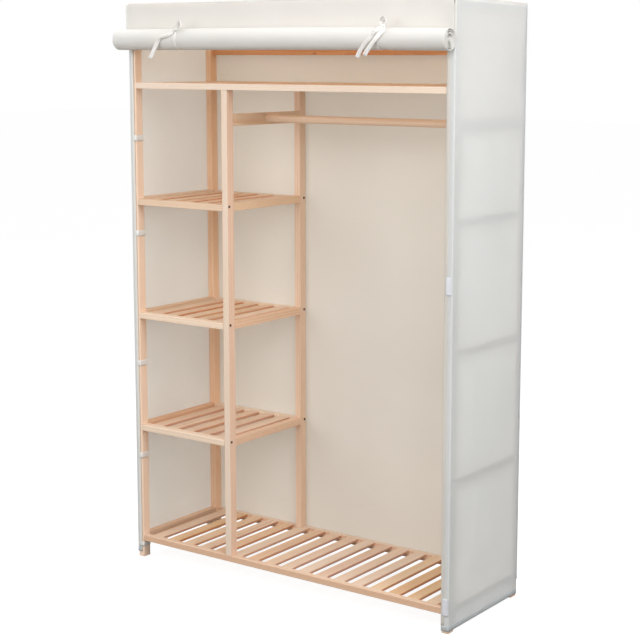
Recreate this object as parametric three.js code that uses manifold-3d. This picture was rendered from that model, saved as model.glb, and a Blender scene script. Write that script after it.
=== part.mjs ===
// Portable fabric wardrobe: a flat-pack pine frame with slatted decks under a cloth cover,
// whose front door is rolled up under the roof and held by two tied tapes.
// Millimetres. +Z is up, -Y is the open front, +X is to the right of someone who faces it.
// The origin is on the floor, under the middle of the whole object, rolled door included.
import * as THREE from "three";
import { mergeVertices } from "three/addons/utils/BufferGeometryUtils.js";
import Module from "manifold-3d";

const wasm = await Module();
wasm.setup();

// The frame's outside
const FRAME_WIDTH = 1116;
const FRAME_DEPTH = 369;
const FRAME_HEIGHT = 1664;
const LEFT_BAY_WIDTH = 326; // clear width of the bay with the small shelves

// Timber stock
const POST_WIDTH = 21; // along X
const POST_DEPTH = 28; // along Y
const RAIL_DEPTH = 28;
const RAIL_HEIGHT = 18;
const RUNG_HEIGHT = 22;
const SLAT_WIDTH = 38;
const SLAT_THICKNESS = 8;
const SLAT_GAP = 23; // nominal, the decks share out what is left
const SLAT_SEAT = 10; // how far a slat's end reaches into its rail
const EDGE_RADIUS = 1.6; // rounded arrises of the timber

// Levels
const BASE_UNDERSIDE = 51; // above the floor
const TOP_SHELF_DROP = 234.5; // from the frame's top down to the top shelf's underside
const STRETCHER_DROP = 136; // from the frame's top down to the rear stretcher's underside
const STRETCHER_HEIGHT = 28;
// How far up each small shelf stands, from the base rails' underside to the top shelf's
const SHELF_LEVELS = ["lower", "middle", "upper"];
const SHELF_LEVEL_SHARES = [0.252, 0.5025, 0.751];

// Hanging pole
const POLE_DIAMETER = 22;
const POLE_DROP = 84.5; // from the top shelf's underside down to the pole's axis
const POLE_RUNG_HEIGHT = 34;
const POLE_SOCKET_DEPTH = 12; // blind hole in each pole rung
const POLE_CLEARANCE = 0.4; // all round the pole's end in its socket

// Cloth cover
const COVER_THICKNESS = 1.5;
const COVER_CLEARANCE = 0.4; // between cloth and timber
const COVER_HEM_HEIGHT = 8; // side panels' hem above the floor
const BACK_HEM_HEIGHT = 52; // the back panel ends level with the base rails
const COVER_CORNER_RADIUS = 3;
const STRAP_THICKNESS = 1.2;
const STRAP_HEIGHT = 17;
const STRAP_LEVEL_SHARES = [0.193, 0.365, 0.602, 0.772]; // of the frame's height

// Rolled door
const DOOR_CLOTH_THICKNESS = 0.8;
const ROLL_OVERHANG = 11; // how far the door's width passes the frame on each side
const ROLL_RADIUS = 29;
const ROLL_CORE_RADIUS = 12; // the hollow in the middle of the roll
const ROLL_DROP = 97; // from the frame's top down to the roll's axis
const ROLL_TURNS = 12;
const ROLL_STEPS_PER_TURN = 24;

// Tied tapes
const TAPE_WIDTH = 13;
const TAPE_THICKNESS = 1.1;
const TAIL_WIDTH = 10;
const LOOP_WIDTH = 8;
const KNOT_RADIUS = 6;
const LEFT_TIE_INSET = 239; // from the roll's left end
const RIGHT_TIE_INSET = 202; // from the roll's right end

// Fits
const SEAT_GAP = 0.3; // between pieces that touch
const CUT_OVERRUN = 1;

// Shades and surfaces
const PINE = { color: 0xe3bd94, roughness: 0.55, metalness: 0 };
const SLAT_PINE = { color: 0xdcb186, roughness: 0.6, metalness: 0 };
const COVER_CLOTH = { color: 0xe6e1d8, roughness: 0.92, metalness: 0 };
const DOOR_CLOTH = { color: 0xf1ede6, roughness: 0.92, metalness: 0 };
const TAPE_CLOTH = { color: 0xf4eee2, roughness: 0.85, metalness: 0 };

// Planes that many pieces share
const postX = FRAME_WIDTH / 2 - POST_WIDTH / 2;
const postY = FRAME_DEPTH / 2 - POST_DEPTH / 2;
const bayHalf = FRAME_WIDTH / 2 - POST_WIDTH; // inner faces of the corner posts
const betweenPosts = FRAME_DEPTH - 2 * POST_DEPTH; // front-to-back gap a rung fills
const middleX = -bayHalf + LEFT_BAY_WIDTH + POST_WIDTH / 2;
const baseTop = BASE_UNDERSIDE + RAIL_HEIGHT;
const topShelfUnderside = FRAME_HEIGHT - TOP_SHELF_DROP;
const poleHeight = topShelfUnderside - POLE_DROP;
const coverX = FRAME_WIDTH / 2 + COVER_CLEARANCE; // inner face of a side panel
const coverY = FRAME_DEPTH / 2 + COVER_CLEARANCE;
const roofUnderside = FRAME_HEIGHT + COVER_CLEARANCE;
const roofTop = roofUnderside + COVER_THICKNESS;
const doorBackY = -(coverY + COVER_THICKNESS + COVER_CLEARANCE);
const rollY = doorBackY - ROLL_RADIUS;
const rollHeight = FRAME_HEIGHT - ROLL_DROP;
const rollLength = FRAME_WIDTH + 2 * ROLL_OVERHANG;

const wardrobe = new THREE.Group();

function place(name, geometry, finish, position) {
  const mesh = new THREE.Mesh(geometry, new THREE.MeshStandardMaterial(finish));
  mesh.name = name;
  mesh.position.set(...position);
  wardrobe.add(mesh);
  return mesh;
}

// Booleans

function solidOf(geometry) {
  const bare = geometry.clone();
  bare.deleteAttribute("normal");
  bare.deleteAttribute("uv");
  const merged = mergeVertices(bare);
  return new wasm.Manifold(
    new wasm.Mesh({
      numProp: 3,
      vertProperties: merged.attributes.position.array,
      triVerts: new Uint32Array(merged.index.array),
    }),
  );
}

function geometryOf(solid) {
  const mesh = solid.getMesh();
  const geometry = new THREE.BufferGeometry();
  geometry.setAttribute(
    "position",
    new THREE.BufferAttribute(new Float32Array(mesh.vertProperties), mesh.numProp),
  );
  geometry.setIndex(new THREE.BufferAttribute(new Uint32Array(mesh.triVerts), 1));
  geometry.computeVertexNormals();
  return geometry;
}

function joined(geometries) {
  return geometryOf(geometries.map(solidOf).reduce((sum, solid) => sum.add(solid)));
}

// Timber

const AXIS_BASES = {
  x: [new THREE.Vector3(0, 1, 0), new THREE.Vector3(0, 0, 1), new THREE.Vector3(1, 0, 0)],
  y: [new THREE.Vector3(-1, 0, 0), new THREE.Vector3(0, 0, 1), new THREE.Vector3(0, 1, 0)],
  z: [new THREE.Vector3(1, 0, 0), new THREE.Vector3(0, 1, 0), new THREE.Vector3(0, 0, 1)],
};

// An outline extruded along an axis and centred on it. The outline's own x and y become
// Y and Z along x, -X and Z along y, and X and Y along z.
function extruded(shape, length, axis, curveSegments = 2) {
  const geometry = new THREE.ExtrudeGeometry(shape, {
    depth: length,
    bevelEnabled: false,
    curveSegments,
  });
  geometry.translate(0, 0, -length / 2);
  return geometry.applyMatrix4(new THREE.Matrix4().makeBasis(...AXIS_BASES[axis]));
}

function roundedRectangle(width, height, radius = EDGE_RADIUS) {
  const x = width / 2;
  const y = height / 2;
  const shape = new THREE.Shape();
  shape.absarc(x - radius, y - radius, radius, 0, Math.PI / 2);
  shape.absarc(radius - x, y - radius, radius, Math.PI / 2, Math.PI);
  shape.absarc(radius - x, radius - y, radius, Math.PI, 1.5 * Math.PI);
  shape.absarc(x - radius, radius - y, radius, 1.5 * Math.PI, 2 * Math.PI);
  return shape;
}

const bar = (width, height, length, axis) => extruded(roundedRectangle(width, height), length, axis);

function makePosts() {
  for (const [side, sx] of [["left", -1], ["right", 1]]) {
    for (const [end, sy] of [["front", -1], ["rear", 1]]) {
      place(
        `${end}_${side}_post`,
        bar(POST_WIDTH, POST_DEPTH, FRAME_HEIGHT, "z"),
        PINE,
        [sx * postX, sy * postY, FRAME_HEIGHT / 2],
      );
    }
  }
  // The middle posts stand on the base rails and carry the top shelf.
  const foot = baseTop + SEAT_GAP;
  const length = topShelfUnderside - SEAT_GAP - foot;
  for (const [end, sy] of [["front", -1], ["rear", 1]]) {
    place(
      `middle_${end}_post`,
      bar(POST_WIDTH, POST_DEPTH, length, "z"),
      PINE,
      [middleX, sy * postY, foot + length / 2],
    );
  }
}

// A rung lies between the front and rear post of one side frame.
function rung(name, x, underside, height = RUNG_HEIGHT, cut = null) {
  const geometry = bar(POST_WIDTH, height, betweenPosts - 2 * SEAT_GAP, "y");
  const shaped = cut ? geometryOf(solidOf(geometry).subtract(solidOf(cut))) : geometry;
  return place(name, shaped, PINE, [x, 0, underside + height / 2]);
}

const shelfUndersides = SHELF_LEVEL_SHARES.map(
  (share) => BASE_UNDERSIDE + share * (topShelfUnderside - BASE_UNDERSIDE),
);

function makeRungs() {
  for (const [side, x] of [["left", -postX], ["centre", middleX], ["right", postX]]) {
    SHELF_LEVELS.forEach((level, i) => rung(`${side}_${level}_rung`, x, shelfUndersides[i]));
  }
  for (const [side, x] of [["left", -postX], ["right", postX]]) {
    rung(`${side}_base_rung`, x, BASE_UNDERSIDE);
    rung(`${side}_top_rung`, x, FRAME_HEIGHT - RUNG_HEIGHT);
  }
}

// The pole's ends sit in blind holes of two deeper rungs, so it can't roll or slip out.
function makePole() {
  const socketRadius = POLE_DIAMETER / 2 + POLE_CLEARANCE;
  const drill = (sign) => {
    const depth = POLE_SOCKET_DEPTH + CUT_OVERRUN;
    const geometry = new THREE.CylinderGeometry(socketRadius, socketRadius, depth, 32);
    geometry.rotateZ(Math.PI / 2);
    geometry.translate(sign * (POST_WIDTH / 2 - POLE_SOCKET_DEPTH + depth / 2), 0, 0);
    return geometry;
  };
  const underside = poleHeight - POLE_RUNG_HEIGHT / 2;
  rung("centre_pole_rung", middleX, underside, POLE_RUNG_HEIGHT, drill(1));
  rung("right_pole_rung", postX, underside, POLE_RUNG_HEIGHT, drill(-1));

  const socketFloor = POST_WIDTH / 2 - POLE_SOCKET_DEPTH + SEAT_GAP;
  const left = middleX + socketFloor;
  const right = postX - socketFloor;
  const pole = new THREE.CylinderGeometry(POLE_DIAMETER / 2, POLE_DIAMETER / 2, right - left, 32);
  pole.rotateZ(Math.PI / 2);
  place("hanging_pole", pole, PINE, [(left + right) / 2, 0, poleHeight]);
}

// Decks

// Slat centres across a bay, with equal gaps at both ends and between the slats.
function slatCentres(low, high) {
  const span = high - low;
  const count = Math.max(1, Math.round((span - SLAT_GAP) / (SLAT_WIDTH + SLAT_GAP)));
  const gap = (span - count * SLAT_WIDTH) / (count + 1);
  return Array.from({ length: count }, (_, i) => low + gap + SLAT_WIDTH / 2 + i * (SLAT_WIDTH + gap));
}

// A rail of the base, with a ledge along its inner top edge for the slat ends. The outline's
// x runs from the rail's outer face inwards, and the rear rail is the front one turned round.
function ledgedRail(length, sign) {
  const half = RAIL_DEPTH / 2;
  const top = RAIL_HEIGHT / 2;
  const ledge = top - SLAT_THICKNESS - SEAT_GAP;
  const wall = half - SLAT_SEAT;
  const shape = new THREE.Shape();
  shape.absarc(EDGE_RADIUS - half, EDGE_RADIUS - top, EDGE_RADIUS, Math.PI, 1.5 * Math.PI);
  shape.absarc(half - EDGE_RADIUS, EDGE_RADIUS - top, EDGE_RADIUS, 1.5 * Math.PI, 2 * Math.PI);
  shape.lineTo(half, ledge);
  shape.lineTo(wall, ledge);
  shape.lineTo(wall, top);
  shape.absarc(EDGE_RADIUS - half, top - EDGE_RADIUS, EDGE_RADIUS, Math.PI / 2, Math.PI);
  const geometry = extruded(shape, length, "x");
  return sign < 0 ? geometry : geometry.rotateZ(Math.PI);
}

const slat = (length) => extruded(roundedRectangle(SLAT_WIDTH, SLAT_THICKNESS), length, "y");

// The base deck's rails and slats are loose pieces, and the slat tops are flush with the rails.
function makeBase() {
  const length = 2 * (bayHalf - SEAT_GAP);
  for (const [end, sign] of [["front", -1], ["rear", 1]]) {
    place(
      `base_${end}_rail`,
      ledgedRail(length, sign),
      PINE,
      [0, sign * (FRAME_DEPTH / 2 - RAIL_DEPTH / 2), BASE_UNDERSIDE + RAIL_HEIGHT / 2],
    );
  }
  const reach = FRAME_DEPTH - 2 * (RAIL_DEPTH - SLAT_SEAT) - 2 * SEAT_GAP;
  slatCentres(-bayHalf, bayHalf).forEach((x, i) => {
    const name = `base_slat_${String(i + 1).padStart(2, "0")}`;
    place(name, slat(reach), SLAT_PINE, [x, 0, baseTop - SLAT_THICKNESS / 2]);
  });
}

// A shelf is one glued unit: a front rail, a rear rail and the slats let into them.
function shelf(name, low, high, underside) {
  const length = high - low - 2 * SEAT_GAP;
  const middle = (low + high) / 2;
  const pieces = [-1, 1].map((sign) => {
    const rail = bar(RAIL_DEPTH, RAIL_HEIGHT, length, "x");
    return rail.translate(0, sign * (FRAME_DEPTH / 2 - RAIL_DEPTH / 2), 0);
  });
  const lift = RAIL_HEIGHT / 2 - SLAT_THICKNESS / 2;
  for (const x of slatCentres(low, high)) {
    const board = slat(FRAME_DEPTH - 2 * (RAIL_DEPTH - SLAT_SEAT));
    pieces.push(board.translate(x - middle, 0, lift));
  }
  place(name, joined(pieces), PINE, [middle, 0, underside + RAIL_HEIGHT / 2]);
}

function makeShelves() {
  SHELF_LEVELS.forEach((level, i) => {
    shelf(`${level}_shelf`, -bayHalf, -bayHalf + LEFT_BAY_WIDTH, shelfUndersides[i]);
  });
  shelf("top_shelf", -bayHalf, bayHalf, topShelfUnderside);
}

function makeTopRails() {
  const length = 2 * (bayHalf - SEAT_GAP);
  for (const [end, sign] of [["front", -1], ["rear", 1]]) {
    place(
      `top_${end}_rail`,
      bar(RAIL_DEPTH, RAIL_HEIGHT, length, "x"),
      PINE,
      [0, sign * (FRAME_DEPTH / 2 - RAIL_DEPTH / 2), FRAME_HEIGHT - RAIL_HEIGHT / 2],
    );
  }
  // The rear stretcher stands on edge, flush with the posts' rear faces.
  place(
    "rear_stretcher",
    bar(RAIL_HEIGHT, STRETCHER_HEIGHT, length, "x"),
    PINE,
    [0, FRAME_DEPTH / 2 - RAIL_HEIGHT / 2, FRAME_HEIGHT - STRETCHER_DROP + STRETCHER_HEIGHT / 2],
  );
}

// Cover

// Plan of a side panel: a wall along the side frame that turns round the front post and
// ends at that post's inner face.
function sidePanel(height) {
  const outer = coverX + COVER_THICKNESS;
  const front = -(coverY + COVER_THICKNESS);
  const rear = coverY - SEAT_GAP;
  const radius = COVER_CORNER_RADIUS;
  const shape = new THREE.Shape();
  shape.moveTo(outer, rear);
  shape.lineTo(coverX, rear);
  shape.absarc(coverX - radius + COVER_THICKNESS, -coverY + radius - COVER_THICKNESS,
    radius - COVER_THICKNESS, 0, -Math.PI / 2, true);
  shape.lineTo(bayHalf, -coverY);
  shape.lineTo(bayHalf, front);
  shape.absarc(outer - radius, front + radius, radius, -Math.PI / 2, 0, false);
  return extruded(shape, height, "z", 4);
}

function makeCover() {
  const height = FRAME_HEIGHT - COVER_HEM_HEIGHT;
  const centre = COVER_HEM_HEIGHT + height / 2;
  place("right_side_panel", sidePanel(height), COVER_CLOTH, [0, 0, centre]);
  const mirrored = place("left_side_panel", sidePanel(height), COVER_CLOTH, [0, 0, centre]);
  mirrored.scale.x = -1;

  const width = 2 * (coverX + COVER_THICKNESS);
  const backHeight = FRAME_HEIGHT - BACK_HEM_HEIGHT;
  place(
    "back_panel",
    new THREE.BoxGeometry(width, COVER_THICKNESS, backHeight),
    COVER_CLOTH,
    [0, coverY + COVER_THICKNESS / 2, BACK_HEM_HEIGHT + backHeight / 2],
  );
  const depth = 2 * (coverY + COVER_THICKNESS);
  place(
    "roof_panel",
    extruded(roundedRectangle(width, depth, COVER_CORNER_RADIUS), COVER_THICKNESS, "z", 4),
    COVER_CLOTH,
    [0, 0, roofUnderside + COVER_THICKNESS / 2],
  );
}

// The straps hold the left panel's front edge to its post. Each one runs from that edge
// along the post's inner face and round behind the post to the side panel.
function makeStraps() {
  const inner = -bayHalf + COVER_CLEARANCE;
  const back = -FRAME_DEPTH / 2 + POST_DEPTH + COVER_CLEARANCE;
  const front = -coverY + SEAT_GAP;
  const side = -coverX + SEAT_GAP;
  STRAP_LEVEL_SHARES.forEach((share, i) => {
    const shape = new THREE.Shape();
    shape.moveTo(inner, front);
    shape.lineTo(inner + STRAP_THICKNESS, front);
    shape.lineTo(inner + STRAP_THICKNESS, back + STRAP_THICKNESS);
    shape.lineTo(side, back + STRAP_THICKNESS);
    shape.lineTo(side, back);
    shape.lineTo(inner, back);
    const strap = extruded(shape, STRAP_HEIGHT, "z");
    place(`post_strap_${i + 1}`, strap, TAPE_CLOTH, [0, 0, share * FRAME_HEIGHT]);
  });
}

// Door

// The roll's section is one sheet wound inwards. It starts behind the roll, where the hanging
// part of the door runs into it, and goes down, forward and up.
function rollSection() {
  const pitch = (ROLL_RADIUS - ROLL_CORE_RADIUS) / ROLL_TURNS;
  const steps = ROLL_TURNS * ROLL_STEPS_PER_TURN;
  const along = (inset) =>
    Array.from({ length: steps + 1 }, (_, i) => {
      const turn = i / ROLL_STEPS_PER_TURN;
      const radius = ROLL_RADIUS - inset - turn * pitch;
      const angle = -turn * 2 * Math.PI;
      return new THREE.Vector2(radius * Math.cos(angle), radius * Math.sin(angle));
    });
  const outside = along(0);
  const inside = along(DOOR_CLOTH_THICKNESS);
  return { outside, inside };
}

// Least distance between neighbouring turns, measured on the section's points.
function leastGap({ outside, inside }) {
  let least = Infinity;
  for (let i = 0; i + ROLL_STEPS_PER_TURN < outside.length; i++) {
    const next = i + ROLL_STEPS_PER_TURN;
    const along = outside[Math.min(next + 1, outside.length - 1)].clone();
    along.sub(outside[next - 1]).normalize();
    const across = inside[i].clone().sub(outside[next]);
    least = Math.min(least, Math.abs(across.cross(along)));
  }
  return least;
}

function makeDoor() {
  const section = rollSection();
  console.log(`door roll: least gap between turns ${leastGap(section).toFixed(2)} mm`);
  const shape = new THREE.Shape([...section.outside, ...section.inside.reverse()]);
  place("door_roll", extruded(shape, rollLength, "x"), DOOR_CLOTH, [0, rollY, rollHeight]);

  const bottom = rollHeight + SEAT_GAP;
  const height = roofTop - bottom;
  const sheet = new THREE.BoxGeometry(2 * (coverX + COVER_THICKNESS), DOOR_CLOTH_THICKNESS, height);
  place("door_sheet", sheet, DOOR_CLOTH, [0, doorBackY - DOOR_CLOTH_THICKNESS / 2, bottom + height / 2]);
}

// Ties

// A flat tape along a smooth curve, closed at both ends. across(t) is the direction of its width.
function tape(points, width, thickness, steps, across) {
  const curve = new THREE.CatmullRomCurve3(points);
  const corners = [];
  for (let i = 0; i <= steps; i++) {
    const t = i / steps;
    const wide = across(t).clone();
    const along = curve.getTangent(t);
    wide.addScaledVector(along, -wide.dot(along)).normalize();
    const thick = new THREE.Vector3().crossVectors(along, wide);
    for (const [u, v] of [[-1, -1], [1, -1], [1, 1], [-1, 1]]) {
      const corner = curve.getPoint(t);
      corner.addScaledVector(wide, (u * width) / 2).addScaledVector(thick, (v * thickness) / 2);
      corners.push(corner.x, corner.y, corner.z);
    }
  }
  const faces = [];
  for (let i = 0; i < steps; i++) {
    for (let k = 0; k < 4; k++) {
      const a = 4 * i + k;
      const b = 4 * i + ((k + 1) % 4);
      faces.push(a, b, b + 4, a, b + 4, a + 4);
    }
  }
  const last = 4 * steps;
  faces.push(0, 2, 1, 0, 3, 2, last, last + 1, last + 2, last, last + 2, last + 3);
  const geometry = new THREE.BufferGeometry();
  geometry.setAttribute("position", new THREE.Float32BufferAttribute(corners, 3));
  geometry.setIndex(faces);
  return geometry;
}

// Places of a tie's bow around the roll: shares of the roll's radius along X, in front of the
// roll's axis and above it. The knot sits on the roll's upper front.
const KNOT_SHARE = [0, 0.77, 0.95];
const BOW_LOOP_SHARES = [
  [0.02, 0.74, 0.9],
  [0.1, 0.62, 1.36],
  [0.3, 0.52, 1.74],
  [0.62, 0.56, 1.6],
  [0.6, 0.66, 1.24],
  [0.12, 0.78, 0.96],
];
const SHORT_TAIL_SHARES = [
  [0.02, 0.78, 0.86],
  [-0.36, 1.04, 0.62],
  [-0.9, 1.16, 0.1],
  [-1.3, 1.2, -0.5],
  [-1.62, 1.18, -1.02],
];
const LONG_TAIL_SHARES = [
  [0.06, 0.78, 0.9],
  [-0.7, 1.0, 0.56],
  [-1.5, 1.16, 0.2],
  [-2.2, 1.22, -0.28],
  [-2.62, 1.2, -0.98],
  [-2.9, 1.16, -1.52],
];

const onRoll = ([x, forward, up]) =>
  new THREE.Vector3(x * ROLL_RADIUS, -forward * ROLL_RADIUS, up * ROLL_RADIUS);

// The ring of tape under the roll: it comes down behind the door, passes below the roll and
// climbs its front to the knot.
function tieRing() {
  const inner = ROLL_RADIUS + SEAT_GAP;
  const outer = inner + TAPE_THICKNESS;
  const knotAngle = Math.atan2(KNOT_SHARE[2], -KNOT_SHARE[1]);
  const shape = new THREE.Shape();
  shape.absarc(0, 0, outer, knotAngle, 2 * Math.PI, false);
  shape.absarc(0, 0, inner, 2 * Math.PI, knotAngle, true);
  return extruded(shape, TAPE_WIDTH, "x", 32);
}

function tie(name, x, tails) {
  const knot = new THREE.SphereGeometry(KNOT_RADIUS, 12, 8);
  knot.translate(...onRoll(KNOT_SHARE).toArray());
  const sideways = new THREE.Vector3(1, 0, 0);
  const forward = new THREE.Vector3(0, -1, 0);
  const pieces = [
    tieRing(),
    knot,
    tape(BOW_LOOP_SHARES.map(onRoll), LOOP_WIDTH, TAPE_THICKNESS, 14, () => forward),
    ...tails.map((tail) => tape(tail.map(onRoll), TAIL_WIDTH, TAPE_THICKNESS, 12, () => sideways)),
  ];
  place(name, joined(pieces), TAPE_CLOTH, [x, rollY, rollHeight]);
}

function makeTies() {
  tie("left_tie", LEFT_TIE_INSET - rollLength / 2, [LONG_TAIL_SHARES]);
  tie("right_tie", rollLength / 2 - RIGHT_TIE_INSET, [LONG_TAIL_SHARES, SHORT_TAIL_SHARES]);
}

makePosts();
makeRungs();
makePole();
makeBase();
makeShelves();
makeTopRails();
makeCover();
makeStraps();
makeDoor();
makeTies();

// The roll stands out in front, so the wardrobe is set back until its whole depth is centred.
const reach = new THREE.Box3().setFromObject(wardrobe, true);
wardrobe.position.y = -(reach.min.y + reach.max.y) / 2;

export default wardrobe;
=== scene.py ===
"""Portable fabric wardrobe: a pine frame with slatted decks under an off-white cloth cover.

Metres, in the frame of the CAD model: +Z up, -Y the open front, +X to the right of someone who
faces it. The timber is the CAD model's own, with a material for each run of grain. The cover,
the rolled door, the tapes and the small fittings are made here.
"""

import math

import bpy
from mathutils import Matrix, Vector, noise


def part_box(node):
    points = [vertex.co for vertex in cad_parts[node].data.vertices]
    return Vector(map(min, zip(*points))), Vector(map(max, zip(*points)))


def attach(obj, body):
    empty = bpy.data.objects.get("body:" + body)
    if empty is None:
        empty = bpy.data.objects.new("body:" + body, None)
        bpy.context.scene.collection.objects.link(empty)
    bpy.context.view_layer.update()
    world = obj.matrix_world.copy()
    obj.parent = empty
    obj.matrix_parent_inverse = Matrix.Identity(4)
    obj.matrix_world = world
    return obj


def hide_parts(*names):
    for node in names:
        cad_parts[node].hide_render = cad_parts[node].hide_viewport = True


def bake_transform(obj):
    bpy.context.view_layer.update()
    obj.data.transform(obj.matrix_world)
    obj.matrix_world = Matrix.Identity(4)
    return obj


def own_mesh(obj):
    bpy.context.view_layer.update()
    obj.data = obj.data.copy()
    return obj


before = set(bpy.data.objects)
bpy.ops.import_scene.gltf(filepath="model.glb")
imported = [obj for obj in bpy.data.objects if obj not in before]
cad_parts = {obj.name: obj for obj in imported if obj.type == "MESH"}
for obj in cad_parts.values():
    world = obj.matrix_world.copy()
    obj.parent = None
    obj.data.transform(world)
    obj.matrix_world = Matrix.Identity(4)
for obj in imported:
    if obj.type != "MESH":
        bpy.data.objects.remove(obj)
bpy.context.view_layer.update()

MM = 0.001


def put(name, data):
    """A new object in the scene."""
    item = bpy.data.objects.new(name, data)
    bpy.context.scene.collection.objects.link(item)
    return item


# Camera

IMAGE_SIDE = 640
FOCAL_PIXELS = 1517.13
PRINCIPAL_POINT = (345, 285)
SENSOR_WIDTH = 36
CAMERA_PLACE = Vector((2.5711, -3.4599, 1.5203))
CAMERA_YAW = 0.618
CAMERA_PITCH = 0.1487
CAMERA_ROLL = 0.0016


def make_camera():
    data = bpy.data.cameras.new("camera")
    data.sensor_width = SENSOR_WIDTH
    data.lens = FOCAL_PIXELS / IMAGE_SIDE * SENSOR_WIDTH
    data.shift_x = (IMAGE_SIDE / 2 - PRINCIPAL_POINT[0]) / IMAGE_SIDE
    data.shift_y = (PRINCIPAL_POINT[1] - IMAGE_SIDE / 2) / IMAGE_SIDE
    data.clip_end = 100
    camera = put("camera", data)
    turned = Matrix.Rotation(CAMERA_YAW, 4, "Z") @ Matrix.Rotation(math.pi / 2 - CAMERA_PITCH, 4, "X")
    camera.matrix_world = Matrix.Translation(CAMERA_PLACE) @ turned @ Matrix.Rotation(CAMERA_ROLL, 4, "Z")
    bpy.context.scene.camera = camera


make_camera()


# Sizes that many pieces share, most of them read from the CAD model

POST_WIDTH = 21 * MM
POST_DEPTH = 28 * MM
RAIL_DEPTH = 28 * MM
SLAT_GAP = 23 * MM  # nominal, a deck shares out what is left
COVER_THICKNESS = 1.0 * MM
DOOR_CLOTH_THICKNESS = 0.5 * MM
CORNER_RADIUS = 2.4 * MM
ROOF_EDGE_RADIUS = 4 * MM
HEM_WIDTH = 14 * MM
STITCH_PITCH = 5 * MM
STITCH_LENGTH = 3.4 * MM
STITCH_RADIUS = 0.35 * MM
STITCH_RIDGE = 1.4  # height of a stitch's middle, as a share of its radius
ROOF_PROUD = 0.6 * MM  # how far the roof lies above the CAD model's

# Hems and seams
HEM_THICKNESS = COVER_THICKNESS * 0.7
HEM_DROP = 0.4 * MM  # a bottom hem ends this far below the cloth
HEM_STITCH_INSET = 3 * MM
ROW_END = 4 * MM  # a row of stitches stops this far before the edge
HEM_LAYERS = 3  # the door's side hems are this many layers thick, which spreads the loose turns

post_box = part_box("front_right_post")
rear_post_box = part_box("rear_right_post")
panel_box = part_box("right_side_panel")
back_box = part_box("back_panel")
roof_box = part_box("roof_panel")
sheet_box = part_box("door_sheet")
roll_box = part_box("door_roll")

frame_half = post_box[1].x
frame_front = post_box[0].y
frame_rear = rear_post_box[1].y
wall_x = panel_box[1].x - COVER_THICKNESS / 2
wall_front = panel_box[0].y + COVER_THICKNESS / 2
wall_rear = panel_box[1].y
hem_z = panel_box[0].z
back_hem_z = back_box[0].z
strip_edge_x = panel_box[0].x
back_y = (back_box[0].y + back_box[1].y) / 2
band_y = (sheet_box[0].y + sheet_box[1].y) / 2
roll_z = (roll_box[0].z + roll_box[1].z) / 2
roll_radius = (roll_box[1].z - roll_box[0].z) / 2
roll_y = roll_box[1].y - roll_radius
roof_z = roof_box[1].z + ROOF_PROUD
wall_top = roof_z - ROOF_EDGE_RADIUS
corner_turn = math.pi / 2 * CORNER_RADIUS  # length of cloth in a rounded corner


# Materials

def linear(code):
    """An sRGB hex colour as the linear colour that a shader takes."""
    shares = [int(code[i : i + 2], 16) / 255 for i in (1, 3, 5)]
    return [s / 12.92 if s <= 0.04045 else ((s + 0.055) / 1.055) ** 2.4 for s in shares] + [1.0]


def add(owner, kind, inputs=(), **settings):
    """Adds a node and returns its outputs. inputs gives its sockets, in order or by name or number,
    a value, a hex colour or another node's output."""
    node = owner.node_tree.nodes.new(kind)
    for setting, value in settings.items():
        setattr(node, setting, value)
    for key, value in inputs.items() if isinstance(inputs, dict) else enumerate(inputs):
        if isinstance(value, bpy.types.NodeSocket):
            owner.node_tree.links.new(value, node.inputs[key])
        else:
            node.inputs[key].default_value = linear(value) if isinstance(value, str) else value
    return node.outputs


def layered(material, share, *patterns):
    """Adds patterns to the share of a second tone. Each is a node's output, its lowest and highest
    value, and what these two add."""
    for pattern in patterns:
        more = add(material, "ShaderNodeMapRange", pattern)[0]
        share = add(material, "ShaderNodeMath", [share, more], operation="ADD", use_clamp=True)[0]
    return share


def empty_material(name):
    material = bpy.data.materials.new(name)
    material.use_nodes = True
    material.node_tree.nodes.clear()
    return material


# Planed pine. Pale sapwood with faint growth rings about 4 mm apart, finer fibre streaks and a
# small knot here and there; sanded and left bare, so the light falls softly on it.
RING_SPACING = 4.2 * MM
FIBRE_WIDTH = 0.9 * MM
PORE_DEPTH = 0.25 * MM
WAVE_PERIOD = 2 * math.pi / 20  # of the wave texture at scale 1
GRAIN_STRETCH = 0.05  # a pattern's size across the grain, as a share of its size along it
WOOD_CLOUD_SIZE = 41.67 * MM  # of soft patches of darker wood
LATEWOOD_EDGE = 2.2  # power that narrows the dark line of a ring
LATEWOOD_SHARE = 0.7  # how far that line goes to the late tone
KNOT_SPACING = 130 * MM
KNOT_RADIUS = 5 * MM
KNOT_CORE = 0.2  # the share of its radius that has the full tone
KNOT_STRENGTH = 0.6
KNOT_STRETCH = 0.45  # as GRAIN_STRETCH, for a knot
BOARD_HUES = (0.492, 0.505)
BOARD_SATURATIONS = (0.85, 1.15)
SHADED_SIDE_FACING = (0.5, 0.9)  # how far a face looks sideways where its painted shade begins and is full
SLAT_CHANCE = 0.137  # keeps the random numbers of a shelf's slats off whole ones

# Tones of early wood, late wood and knots
SAPWOOD = ("#F4DFC9", "#E6C5A6", "#B98560")
PALE_SAPWOOD = ("#F4E2D0", "#E8CCB0", "#C49470")
# Painted light: a brighter, redder copy of the sapwood for the front left post, whose inner side gets
# little light
PAINTED_LIGHT_SAPWOOD = ("#FEEAD4", "#F8D7B7", "#C08C64")
# Painted shade: a warmer, more saturated copy of the sapwood for the rear posts, as they look in the shade
# behind the cloth
SHADED_REAR_SAPWOOD = ("#FBDCC0", "#F4C299", "#B07850")
WARM_SAPWOOD = ("#F0D4B9", "#E0B38C", "#AC7048")
FACE_WOOD = ("#EFD9BF", "#E0BE9B", "#B98560")
SHELF_WOOD = ("#ECCDAF", "#DFB694", "#AC7850")
POLE_WOOD = ("#EDCAA8", "#DCB088", "#A06C48")
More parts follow.
